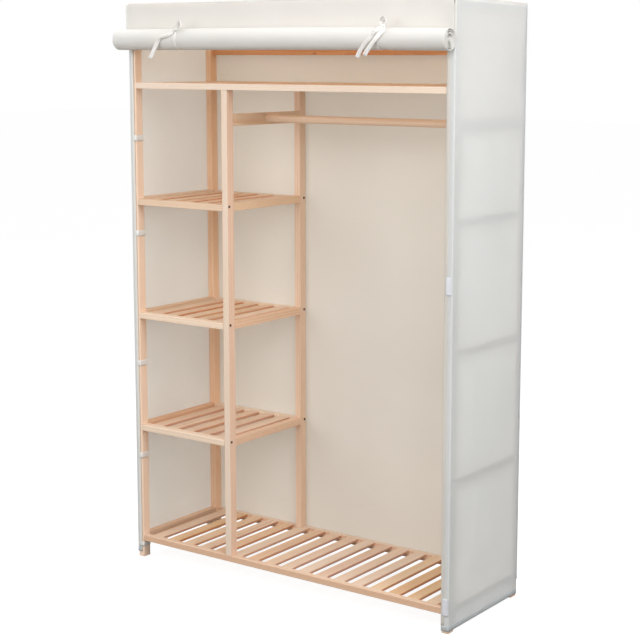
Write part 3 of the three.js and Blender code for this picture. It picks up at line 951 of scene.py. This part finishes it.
def roof_levels():
    """Distance in from the roof's edge and drop below its top, from the edge inwards."""
    levels = []
    for angle in steps(0.0, 90.0, 8):
        turn = math.radians(angle)
        levels.append((ROOF_EDGE_RADIUS * (1 - math.cos(turn)), ROOF_EDGE_RADIUS * (1 - math.sin(turn))))
    depth = (back_y - band_y) / 2
    for share in ROOF_LEVELS:
        inset = depth * share
        levels.append((inset, ROOF_SAG * smooth((inset - RAIL_DEPTH) / (depth - RAIL_DEPTH))))
    return levels


def make_roof():
    levels = roof_levels()
    vertices = []
    flat = []
    for inset, drop in levels:
        for x, y in roof_outline(inset):
            z = roof_z - drop
            ripple = wander(x * 4, y * 6, 2.0) * smooth((inset - RAIL_DEPTH) / ROOF_CALM)
            vertices.append(Vector((x, y, z + rise(y, z) - ROOF_RIPPLE * (ripple + abs(ripple)))))
            flat.append((x, y - drop))
    count = len(vertices) // len(levels)
    faces = grid_faces(len(levels), count, closed=True)
    middle_y = (band_y + back_y) / 2
    ring = (len(levels) - 1) * count
    spine = []
    for x in steps(-SPINE_HALF, SPINE_HALF, SPINE_STEPS):
        vertices.append(Vector((x, middle_y, roof_z - ROOF_SAG + rise(middle_y, roof_z))))
        flat.append((x, middle_y))
        spine.append(len(vertices) - 1)

    def nearest(index):
        x = vertices[index].x
        share = min(1.0, max(0.0, (x + SPINE_HALF) / (2 * SPINE_HALF)))
        return spine[round(share * SPINE_STEPS)]

    for i in range(count):
        a = ring + i
        b = ring + (i + 1) % count
        c = nearest(b)
        d = nearest(a)
        faces.append((a, b, c) if c == d else (a, b, c, d))
    cloth = make_piece("roof_cloth", vertices, faces, [roof_face, roof_back], flat)
    thicken(cloth, COVER_THICKNESS, two_faced=True)
    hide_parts("roof_panel")
    outline = roof_outline(ROOF_EDGE_RADIUS + ROOF_SEAM)
    row = []
    for (x, y), (next_x, next_y) in zip(outline, outline[1:] + outline[:1]):
        start = Vector((x, y, roof_z + rise(y, roof_z) + COVER_THICKNESS / 2))
        run = Vector((next_x - x, next_y - y, rise(next_y, roof_z) - rise(y, roof_z)))
        count = round(run.length / STITCH_PITCH)
        for share in steps(0.0, 1.0, count)[:-1] if count else []:
            row.append((start + run * share, Vector((0, 0, 1))))
            row.append((start + run * share + run.normalized() * STITCH_LENGTH, Vector((0, 0, 1))))
    make_stitches("roof_stitches", [row])


# Door: the band that hangs from the roof, and the roll

ROLL_LEFT = -569 * MM
ROLL_RIGHT = 562 * MM
ROLL_TURNS = 15
ROLL_PEAK_X = -100 * MM  # the roll is thickest and highest here and falls away to the right
ROLL_PEAK_RADIUS = 30.2 * MM
ROLL_PEAK_LIFT = 4.5 * MM  # its axis there, above the CAD roll's
ROLL_TAPER = 3.9  # loss of radius in mm for each square metre, so mm = TAPER * x * x
ROLL_DROOP = 11.5  # fall of the axis to the right, in the same way
ROLL_SWELL = 0.35 * MM  # how unevenly thick the roll is

# Outer turns are wound tight, the next ones loosely, and the last ones close round a small core
TIGHT_TURNS = 5
TIGHT_PITCH = 0.66 * MM
LOOSE_START = 1.5  # turns over which the tight roll becomes loose
LOOSE_END = 12
LOOSE_DEPTHS = (23.2 * MM, 13.0 * MM)  # half the first and last loose turn's size along Y
LOOSE_HEIGHTS = (21.4 * MM, 8.6 * MM)  # and along Z
LOOSE_LIFTS = (-3.4 * MM, 5.6 * MM)  # of their centres above the roll's axis
LOOSE_CRUMPLE = 0.25 * MM
LOOSE_RECESS = 1.2 * MM  # how far the loose turns stay behind the tight ones at the ends
CORE_SIZE = 2.5 * MM  # half of what the last turns shrink to
CORE_RECESS = 4.5 * MM  # how much further these stay behind
END_RAGGEDNESS = 1.3 * MM
END_REACH = 40 * MM  # the turns' recess fades out over this, inwards from the ends
ROLL_END_COLUMNS = (0.0, 3 * MM, 8 * MM, 16 * MM)  # the mesh is finer at the ends
ROLL_MIDDLE_INSET = 30 * MM
LAYERS_START = 0.8  # turns over which the side hems' layers show

# The ties draw the roll a little thinner and pucker the band above them
TIE_RING_X = {"left": -330 * MM, "right": 367 * MM}
TIE_LEAN = {"left": -1.0 * MM, "right": -8.0 * MM}  # shift along the roll for each radian round it
TIE_UPRIGHT = 0.9 * math.pi  # angle round the roll at which the tie is in its place
TIE_LEAN_END = 1.5 * math.pi  # and after which it leans no further
TIE_PINCH = 1.4 * MM
PINCH_WIDTH = 16 * MM
PUCKER = 2.0 * MM
PUCKER_WIDTH = 22 * MM

BAND_RIGHT = wall_x - 3 * MM
BAND_FOLD = 8 * MM  # the hem folded back behind each side edge
BAND_LIFT = 2.6 * MM  # how far the right edge stands off the cover
BAND_LIFT_WIDTH = 25 * MM
BAND_PUFF = 1.1 * MM
BAND_PUFF_MIDDLE = 0.6  # the puff swings about this share of its depth
BAND_CALM = 0.03  # the puff dies out over this, towards the side edges


def roll_axis_z(x):
    return roll_z + ROLL_PEAK_LIFT - ROLL_DROOP * MM * max(0.0, x - ROLL_PEAK_X) ** 2


def roll_pinch(x):
    return sum(TIE_PINCH * bell(x - ring_x, PINCH_WIDTH) for ring_x in TIE_RING_X.values())


def roll_radius_at(x):
    swell = ROLL_SWELL * wander(x * 6, 0.0, 1.0)
    return ROLL_PEAK_RADIUS - ROLL_TAPER * MM * (x - ROLL_PEAK_X) ** 2 - roll_pinch(x) + swell


def make_band():
    top_z = wall_top + rise(band_y, wall_top)
    top = top_z - roll_z
    left = -(wall_x + COVER_THICKNESS)
    radius = DOOR_CLOTH_THICKNESS

    def place(s, t):
        share = t / top
        behind = 0.0
        x = s
        for edge, beyond in ((left, left - s), (BAND_RIGHT, s - BAND_RIGHT)):
            if beyond > 0:
                turn = min(beyond / radius, math.pi)
                behind = radius * (1 - math.cos(turn))
                past = radius * math.sin(turn) - max(0.0, beyond - math.pi * radius)
                x = edge + math.copysign(past, edge)
        z = roll_axis_z(x) + (top_z - roll_axis_z(x)) * share
        hang = math.sin(math.pi * share)
        pucker = sum(bell(x - ring_x, PUCKER_WIDTH) for ring_x in TIE_RING_X.values())
        ripple = wander(x * 7, share * 1.5, 5.0) + 0.4 * wander(x * 26, share, 9.0)
        calm = smooth((BAND_RIGHT - abs(x)) / BAND_CALM)
        puff = hang * (BAND_PUFF * (BAND_PUFF_MIDDLE + ripple) * calm + PUCKER * pucker)
        lift = BAND_LIFT * bell(BAND_RIGHT - x, BAND_LIFT_WIDTH) * smooth((1 - share) / 0.2)
        return Vector((x, band_y - max(0.0, puff) - lift + behind, z))

    fold = steps(0.0, math.pi * radius, 6) + steps(math.pi * radius, math.pi * radius + BAND_FOLD, 3)[1:]
    middle = steps(left, BAND_RIGHT, 240)[1:-1]
    across = [left - d for d in reversed(fold)] + middle + [BAND_RIGHT + d for d in fold]
    band = make_sheet(
        "door_band_cloth",
        across,
        steps(0.0, top, 40),
        place,
        [door_cloth],
        DOOR_CLOTH_THICKNESS,
        body=None,
    )
    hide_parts("door_sheet")
    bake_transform(band)


def roll_place(x, turn):
    """Where the cloth lies at a number of turns from the outside of the roll."""
    depth = height = roll_radius_at(x) - TIGHT_PITCH * min(turn, TIGHT_TURNS)
    lift = 0.0
    if turn > TIGHT_TURNS:
        loose = min(1.0, (turn - TIGHT_TURNS) / (LOOSE_END - TIGHT_TURNS))
        ease = smooth((turn - TIGHT_TURNS) / LOOSE_START)
        crumple = LOOSE_CRUMPLE * wander(x * 8, turn * 0.7, 3.0)
        depth += (part_way(LOOSE_DEPTHS, loose) - depth + crumple) * ease
        height += (part_way(LOOSE_HEIGHTS, loose) - height) * ease
        lift = part_way(LOOSE_LIFTS, loose) * ease
    if turn > LOOSE_END:
        core = (turn - LOOSE_END) / (ROLL_TURNS - LOOSE_END)
        depth += (CORE_SIZE - depth) * core
        height += (CORE_SIZE - height) * core
    angle = -2 * math.pi * turn
    return Vector((x, roll_y + depth * math.cos(angle), roll_axis_z(x) + lift + height * math.sin(angle)))


def make_roll():
    turns = steps(0.0, ROLL_TURNS, ROLL_TURNS * 32)
    distances = [0.0]
    for turn, following in zip(turns, turns[1:]):
        distances.append(distances[-1] + (roll_place(0.0, following) - roll_place(0.0, turn)).length)
    turn_at = dict(zip(distances, turns))
    middle = steps(ROLL_LEFT + ROLL_MIDDLE_INSET, ROLL_RIGHT - ROLL_MIDDLE_INSET, 82)
    left = [ROLL_LEFT + inset for inset in ROLL_END_COLUMNS]
    right = [ROLL_RIGHT - inset for inset in reversed(ROLL_END_COLUMNS)]

    def place(s, t):
        turn = turn_at[t]
        recess = END_RAGGEDNESS * wander(turn * 0.9, math.copysign(5.0, s), 0.0)
        recess += LOOSE_RECESS * smooth((turn - TIGHT_TURNS) / 2)
        recess += CORE_RECESS * smooth((turn - LOOSE_END) / 0.5)
        near_end = smooth((max(ROLL_LEFT - s, s - ROLL_RIGHT) + END_REACH) / END_REACH)
        return roll_place(s - math.copysign(max(0.0, recess) * near_end, s), turn)

    def side_hem(s, t):
        beyond = abs(s - (ROLL_LEFT + ROLL_RIGHT) / 2) - (ROLL_RIGHT - ROLL_LEFT) / 2
        return smooth(beyond / HEM_WIDTH + 1) * smooth((turn_at[t] - TIGHT_TURNS) / LAYERS_START)

    roll = make_sheet(
        "door_roll_cloth",
        left + middle + right,
        distances,
        place,
        [door_cloth],
        DOOR_CLOTH_THICKNESS,
        body="door",
        flip=True,
        hem=side_hem,
    )
    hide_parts("door_roll")
    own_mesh(roll)


# Painted shadow: a grey sheet in the slit between band and side wall, which stands for the dark line of
# the slit in shade

SLIT_WIDTH = 2.6 * MM
SLIT_FOOT = 1.598
SLIT_SHADOW_PROUD = 2.5 * MM  # how far it lies in front of the return strip
SLIT_SHADOW_THICKNESS = 0.8 * MM
SLIT_SHADOW_END = 2 * MM  # how far below the roof's seam it ends


def make_slit_shadow():
    middle = wall_x - SLIT_WIDTH * 0.6
    height = wall_top - SLIT_FOOT + rise(band_y, wall_top) - SLIT_SHADOW_END
    make_sheet(
        "fastening_tape",
        steps(-SLIT_WIDTH / 2, SLIT_WIDTH / 2, 2),
        steps(0.0, height, 24),
        lambda s, t: Vector((middle + s, wall_front - SLIT_SHADOW_PROUD, SLIT_FOOT + t)),
        [slit_shadow_cloth],
        SLIT_SHADOW_THICKNESS,
    )


# Ties

TAPE_THICKNESS = 0.9 * MM
RING_WIDTH = 10 * MM
TAIL_WIDTH = 11.5 * MM
LOOP_WIDTH = 15 * MM
RIBBON_COLUMNS = (-0.5, -0.25, 0.0, 0.25, 0.5)  # shares of a tape's width
LOOP_CLOSING = (0.9, 0.5, 0.15, 0.0, 0.0)  # how far each column of a loop gathers to its middle
RING_PROUD = 0.8 * MM  # how far the ring lies outside the roll
RING_START = 0.2  # radians between the knot and the ring's start
RING_END = 0.02
KNOT_SIZE = 6.4 * MM
KNOT_CORD = 2.1 * MM
TUBE_SIDES = 8

# Places of the tapes in millimetres: along X from the ring, in front of the roll's axis and above
# the CAD roll's axis
LEFT_KNOTS = [(-7, 24, 27)]
LEFT_LOOP = [
    (-6, 24, 28), (-1, 19, 42), (3, 16, 51), (10, 15, 55),
    (17, 16, 49), (19, 17, 39), (8, 21, 31), (-4, 24, 28),
]
LEFT_TAILS = [
    [
        (-6, 27, 26), (-18, 33, 17), (-34, 36, 10), (-47, 36, 6),
        (-56, 35, -1), (-70, 34, -21), (-88, 34, -49),
    ],
]
RIGHT_KNOTS = [(4, 20, 33), (-9, 35, 19)]
RIGHT_LOOP = [
    (4, 14, 34), (-6, 13, 40), (-9, 12, 50), (-1, 12, 58),
    (9, 12, 57), (13, 12, 47), (9, 14, 38), (5, 15, 34),
]
RIGHT_TAILS = [
    [
        (4, 16, 33), (-2, 24, 28), (-9, 31, 19), (-18, 34, 10),
        (-28, 36, -1), (-41, 36, -13), (-54, 35, -28), (-65, 34, -46),
    ],
    [
        (6, 18, 32), (9, 27, 22), (0, 34, 9),
        (-11, 37, -4), (-24, 37, -19), (-41, 36, -40),
    ],
]


def by_roll(x, place):
    return Vector((x + place[0] * MM, roll_y - place[1] * MM, roll_z + place[2] * MM))


def curve_point(points, share):
    """A point of the smooth curve through the points."""
    last = len(points) - 1
    place = min(max(share, 0.0), 1.0) * last
    i = min(int(place), last - 1)
    t = place - i
    before = points[max(i - 1, 0)]
    a = points[i]
    b = points[i + 1]
    after = points[min(i + 2, last)]
    return 0.5 * (
        2 * a
        + (b - before) * t
        + (2 * before - 5 * a + 4 * b - after) * t * t
        + (3 * a - before - 3 * b + after) * t * t * t
    )


def ribbon(points, width, across, count, cup):
    """A flat tape along a curve: vertices, faces and places on the flat tape. across is the
    direction of its width, and cup hollows its section."""
    vertices = []
    flat = []
    travelled = 0.0
    previous = curve_point(points, 0.0)
    for share in steps(0.0, 1.0, count):
        middle = curve_point(points, share)
        travelled += (middle - previous).length
        previous = middle
        ahead = curve_point(points, share + 0.01) - curve_point(points, share - 0.01)
        ahead.normalize()
        wide = (across - across.dot(ahead) * ahead).normalized()
        thick = ahead.cross(wide)
        for column in RIBBON_COLUMNS:
            hollow = width * cup * (0.25 - column * column)
            vertices.append(middle + wide * width * column + thick * hollow)
            flat.append((column * width, travelled))
    return vertices, grid_faces(count + 1, len(RIBBON_COLUMNS)), flat


def gathered_loop(points):
    """A loop of a bow: open to the front, and gathered towards its middle behind."""
    forward = Vector((0.25, -1, 0)).normalized()
    vertices, faces, flat = ribbon(points, LOOP_WIDTH, forward, 40, cup=0.1)
    middle = sum(points, Vector()) / len(points)
    for i, vertex in enumerate(vertices):
        aside = vertex - middle
        aside -= aside.dot(forward) * forward
        vertices[i] = vertex - aside * LOOP_CLOSING[i % len(LOOP_CLOSING)]
    return vertices, faces, flat


def tube(points, radius):
    """A closed loop of cord."""
    vertices = []
    count = len(points)
    for i, point in enumerate(points):
        ahead = (points[(i + 1) % count] - points[i - 1]).normalized()
        side = ahead.cross(Vector((0.3, 0.2, 1.0))).normalized()
        up = ahead.cross(side)
        for j in range(TUBE_SIDES):
            angle = 2 * math.pi * j / TUBE_SIDES
            vertices.append(point + radius * (math.cos(angle) * side + math.sin(angle) * up))
    faces = grid_faces(count + 1, TUBE_SIDES, closed=True)
    faces = [[corner % len(vertices) for corner in face] for face in faces]
    return vertices, faces, [(0.0, 0.0)] * len(vertices)


def knot_points(centre, size):
    """A trefoil, which is how a pulled knot's tape lies."""
    points = []
    for angle in steps(0.0, 2 * math.pi, 36)[:-1]:
        x = math.sin(angle) + 2 * math.sin(2 * angle)
        z = math.cos(angle) - 2 * math.cos(2 * angle)
        y = -math.sin(3 * angle)
        points.append(centre + size / 3 * Vector((x * 0.9, y, z * 0.75)))
    return points


def make_tie(label, knots, loop, tails):
    x = TIE_RING_X[label]
    knot = by_roll(x, knots[0])
    centre_z = roll_axis_z(x)
    start = math.atan2(knot.z - centre_z, knot.y - roll_y)
    radius = roll_radius_at(x) + RING_PROUD
    ring = [knot]
    for angle in steps(start + RING_START, 2 * math.pi - RING_END, 24):
        lean = TIE_LEAN[label] * (min(angle, TIE_LEAN_END) - TIE_UPRIGHT)
        ring_y = roll_y + radius * math.cos(angle)
        ring_z = centre_z + radius * math.sin(angle)
        ring.append(Vector((x + lean, ring_y, ring_z)))
    facing = Vector((0.9, 0.43, 0)).normalized()
    parts = [
        ribbon(ring, RING_WIDTH, Vector((1, 0, 0)), 60, cup=-0.04),
        gathered_loop([by_roll(x, place) for place in loop]),
    ]
    parts += [tube(knot_points(by_roll(x, place), KNOT_SIZE), KNOT_CORD) for place in knots]
    for tail in tails:
        parts.append(ribbon([by_roll(x, place) for place in tail], TAIL_WIDTH, facing, 36, cup=0.16))
    vertices = []
    faces = []
    flat = []
    for part_vertices, part_faces, part_flat in parts:
        first = len(vertices)
        vertices += part_vertices
        flat += part_flat
        faces += [[first + corner for corner in face] for face in part_faces]
    piece = make_piece(f"{label}_tie_tape", vertices, faces, [cotton_tape], flat)
    thicken(piece, TAPE_THICKNESS)
    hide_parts(f"{label}_tie")
    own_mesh(piece)


# Tapes that hold the left wall's return strip to its post

STRAP_WIDTH = 17 * MM
FOOT_STRAP_Z = 41 * MM
FOOT_STRAP_WIDTH = STRAP_WIDTH * 0.75
STRAP_GAP = 0.9 * MM  # between the strap's middle and the post's inner side
STRAP_REAR_GAP = 1.0 * MM
STRAP_SLACK = 0.6 * MM
STRAP_SLACK_SPREAD = 0.5 * MM
STRAP_LEAN = 1.2 * MM


def make_straps():
    """Each strap runs from the strip's face round the post's inner side to its rear face."""
    inner = -(frame_half - POST_WIDTH) + STRAP_GAP
    back = frame_front + POST_DEPTH + STRAP_REAR_GAP
    levels = []
    for i in range(1, 5):
        low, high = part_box(f"post_strap_{i}")
        levels.append(((low.z + high.z) / 2, f"post_strap_{i}"))
    levels.append((FOOT_STRAP_Z, None))
    for i, (z, node) in enumerate(levels):
        slack = STRAP_SLACK + STRAP_SLACK_SPREAD * wander(i * 3.7, 0.0, 0.0)
        lean = STRAP_LEAN * wander(i * 5.1, 2.0, 0.0)
        path = [
            Vector((inner + x * MM + slack * slack_share, y, z - lean * lean_share))
            for x, y, slack_share, lean_share in (
                (-9, wall_front - COVER_THICKNESS * 1.1, 0, 0),
                (-2, wall_front - COVER_THICKNESS * 1.2, 0, 0),
                (0.6, wall_front + 1.5 * MM, 0, 0),
                (0, frame_front + POST_DEPTH * 0.4, 1, 1),
                (0, frame_front + POST_DEPTH * 0.8, 0.6, 1),
                (-1.2, back, 0, 1),
                (-10, back + 0.4 * MM, 0, 1),
                (-19, back + 1.2 * MM, 0, 1),
            )
        ]
        width = STRAP_WIDTH if node else FOOT_STRAP_WIDTH
        vertices, faces, flat = ribbon(path, width, Vector((0, 0, 1)), 40, cup=0.03)
        strap = make_piece(f"strap_tape_{i + 1}", vertices, faces, [cotton_tape], flat)
        thicken(strap, TAPE_THICKNESS)
        if node:
            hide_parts(node)


# Hook-and-loop patches on the right return strip, and the bolts

PATCH_WIDTH = 17 * MM
PATCH_HEIGHT = 47 * MM
PATCH_LEVELS = (937 * MM, 73 * MM)
PATCH_THICKNESS = 1.2 * MM
PATCH_PROUD = COVER_THICKNESS * 1.4  # how far its middle layer lies in front of the strip's
PATCH_INSET = 12.5 * MM  # of its middle from the strip's free edge
PATCH_DOME = 0.5 * MM
PATCH_STITCH_INSET = 1.6 * MM
PATCH_STITCH_PROUD = 1.1 * MM
BOLT_RADIUS = 3.8 * MM
BOLT_HEIGHT = 2.4 * MM
BOLT_INSET = 6.5 * MM  # from the frame's front
BOLT_REAR_INSET = 9.5 * MM
BOLT_RISE = 3 * MM  # above the middle of the rung that it holds
BOLT_SIDES = 24

# Radius and height along a bolt's head, as shares of its own, and whether that ring is hexagonal
BOLT_PROFILE = (
    (1.0, 0.0, False),
    (1.0, 0.35, False),
    (0.93, 0.65, False),
    (0.75, 0.9, False),
    (0.58, 1.0, False),
    (0.5, 1.0, True),
    (0.48, 0.35, True),
    (0.0, 0.3, True),
)


def make_patches():
    y = wall_front - PATCH_PROUD
    middle = strip_edge_x + PATCH_INSET
    outward = Vector((0, -1, 0))

    def stitches(x, z, step_x, step_z, length):
        """A row from a place on the patch, with its direction along X and Z."""
        front = y - PATCH_STITCH_PROUD
        return stitch_row(lambda d: (Vector((x + step_x * d, front, z + step_z * d)), outward), length)

    for i, z in enumerate(PATCH_LEVELS):

        def place(s, t, z=z):
            across = 2 * s / PATCH_WIDTH
            up = 2 * t / PATCH_HEIGHT
            dome = PATCH_DOME * (1 - across**6) * (1 - up**10)
            return Vector((middle + s, y - dome, z + t))

        make_sheet(
            f"hook_and_loop_patch_{i + 1}",
            steps(-PATCH_WIDTH / 2, PATCH_WIDTH / 2, 10),
            steps(-PATCH_HEIGHT / 2, PATCH_HEIGHT / 2, 24),
            place,
            [hook_and_loop],
            PATCH_THICKNESS,
        )
        rows = []
        for side in (-1, 1):
            x = middle + side * (PATCH_WIDTH / 2 - PATCH_STITCH_INSET)
            level = z + side * (PATCH_HEIGHT / 2 - PATCH_STITCH_INSET)
            rows.append(stitches(x, z - PATCH_HEIGHT / 2, 0, 1, PATCH_HEIGHT))
            rows.append(stitches(middle - PATCH_WIDTH / 2, level, 1, 0, PATCH_WIDTH))
        make_stitches(f"patch_stitches_{i + 1}", rows)


def make_bolts():
    face_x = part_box("middle_front_post")[1].x
    places = []
    for level in ("lower", "middle", "upper"):
        low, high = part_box(f"centre_{level}_rung")
        z = (low.z + high.z) / 2 + BOLT_RISE
        places += [(frame_front + BOLT_INSET, z), (frame_rear - BOLT_REAR_INSET, z)]
    for i, (y, z) in enumerate(places):
        vertices = []
        for radius, height, hexagonal in BOLT_PROFILE:
            for j in range(BOLT_SIDES):
                angle = 2 * math.pi * j / BOLT_SIDES
                reach = radius * BOLT_RADIUS
                if hexagonal:
                    reach *= math.cos(math.pi / 6) / math.cos(angle % (math.pi / 3) - math.pi / 6)
                offset = Vector((height * BOLT_HEIGHT, reach * math.cos(angle), reach * math.sin(angle)))
                vertices.append(Vector((face_x, y, z)) + offset)
        faces = grid_faces(len(BOLT_PROFILE), BOLT_SIDES, closed=True)
        make_piece(f"socket_bolt_{i + 1}", vertices, faces, [blackened_steel])


# Stage: a pale studio. To the camera, floor and backdrop are plain white with the object's soft
# shadow, and to the object the floor is a mid grey.

FLOOR_REACH = 30
FLOOR_Z = -0.2 * MM
FLOOR_ALBEDO = "#878584"  # what the floor throws back on the object
FLOOR_GLOW = 0.9  # plain white in what the camera sees of the floor
FLOOR_SHADE = 0.22  # the share of it that lamps and shadows change
AMBIENT = 0.41
WHITE = (1, 1, 1, 1)
AIM = Vector((0, 0, 0.9))

# level is the share of plain white that a white surface facing the lamp shows at AIM
LAMPS = {
    "front_softbox": {"place": (-0.9, -2.8, 1.8), "size": 2.4, "level": 0.44},
    "fill_softbox": {"place": (1.9, -2.5, 2.4), "size": 1.6, "level": 0.23},
    "top_softbox": {"place": (0.1, -0.3, 3.7), "size": 2.6, "level": 0.05},
    "right_softbox": {"place": (2.4, -0.6, 2.9), "size": 1.6, "level": 0.52},
    "left_softbox": {"place": (-2.3, 0.3, 3.2), "size": 2.0, "level": 0.52},
    "back_softbox": {"place": (0.0, 1.6, 3.2), "size": 1.8, "level": 0.32},
}


def seen_directly(owner):
    """1 for what the camera sees, also in a reflection or through glass."""
    rays = add(owner, "ShaderNodeLightPath")
    seen = rays["Is Camera Ray"]
    for ray in ("Is Glossy Ray", "Is Transmission Ray"):
        seen = add(owner, "ShaderNodeMath", [seen, rays[ray]], operation="MAXIMUM")[0]
    return seen


def make_floor():
    material = empty_material("pale_studio_floor")
    shade = (FLOOR_SHADE, FLOOR_SHADE, FLOOR_SHADE, 1)
    plain = add(material, "ShaderNodeBsdfDiffuse", {"Color": FLOOR_ALBEDO})[0]
    lit = add(material, "ShaderNodeBsdfDiffuse", {"Color": shade})[0]
    white = add(material, "ShaderNodeEmission", {"Color": WHITE, "Strength": FLOOR_GLOW})[0]
    shown = add(material, "ShaderNodeAddShader", [lit, white])[0]
    surface = add(material, "ShaderNodeMixShader", [seen_directly(material), plain, shown])[0]
    add(material, "ShaderNodeOutputMaterial", {"Surface": surface})
    mesh = bpy.data.meshes.new("floor")
    signs = ((-1, -1), (1, -1), (1, 1), (-1, 1))
    corners = [(x * FLOOR_REACH, y * FLOOR_REACH, FLOOR_Z) for x, y in signs]
    mesh.from_pydata(corners, [], [(0, 1, 2, 3)])
    mesh.materials.append(material)
    put("floor", mesh)


def make_lights():
    world = bpy.data.worlds.new("studio")
    world.use_nodes = True
    world.node_tree.nodes.clear()
    bpy.context.scene.world = world
    room = add(world, "ShaderNodeBackground", {"Color": WHITE, "Strength": AMBIENT})[0]
    backdrop = add(world, "ShaderNodeBackground", {"Color": WHITE, "Strength": 1.0})[0]
    surface = add(world, "ShaderNodeMixShader", [seen_directly(world), room, backdrop])[0]
    add(world, "ShaderNodeOutputWorld", {"Surface": surface})
    for name, lamp in LAMPS.items():
        data = bpy.data.lights.new(name, "AREA")
        data.shape = "SQUARE"
        data.size = lamp["size"]
        ray = Vector(lamp["place"]) - AIM
        data.energy = lamp["level"] * math.pi**2 * ray.length_squared
        light = put(name, data)
        light.location = lamp["place"]
        light.rotation_euler = ray.to_track_quat("Z", "Y").to_euler()
        light.visible_camera = False


dress_timber()
make_side_wall(-1)
make_side_wall(1)
make_back()
make_roof()
make_band()
make_roll()
make_slit_shadow()
make_tie("left", LEFT_KNOTS, LEFT_LOOP, LEFT_TAILS)
make_tie("right", RIGHT_KNOTS, RIGHT_LOOP, RIGHT_TAILS)
make_straps()
make_patches()
make_bolts()
make_floor()
make_lights()

bpy.context.scene.view_settings.view_transform = "Standard"
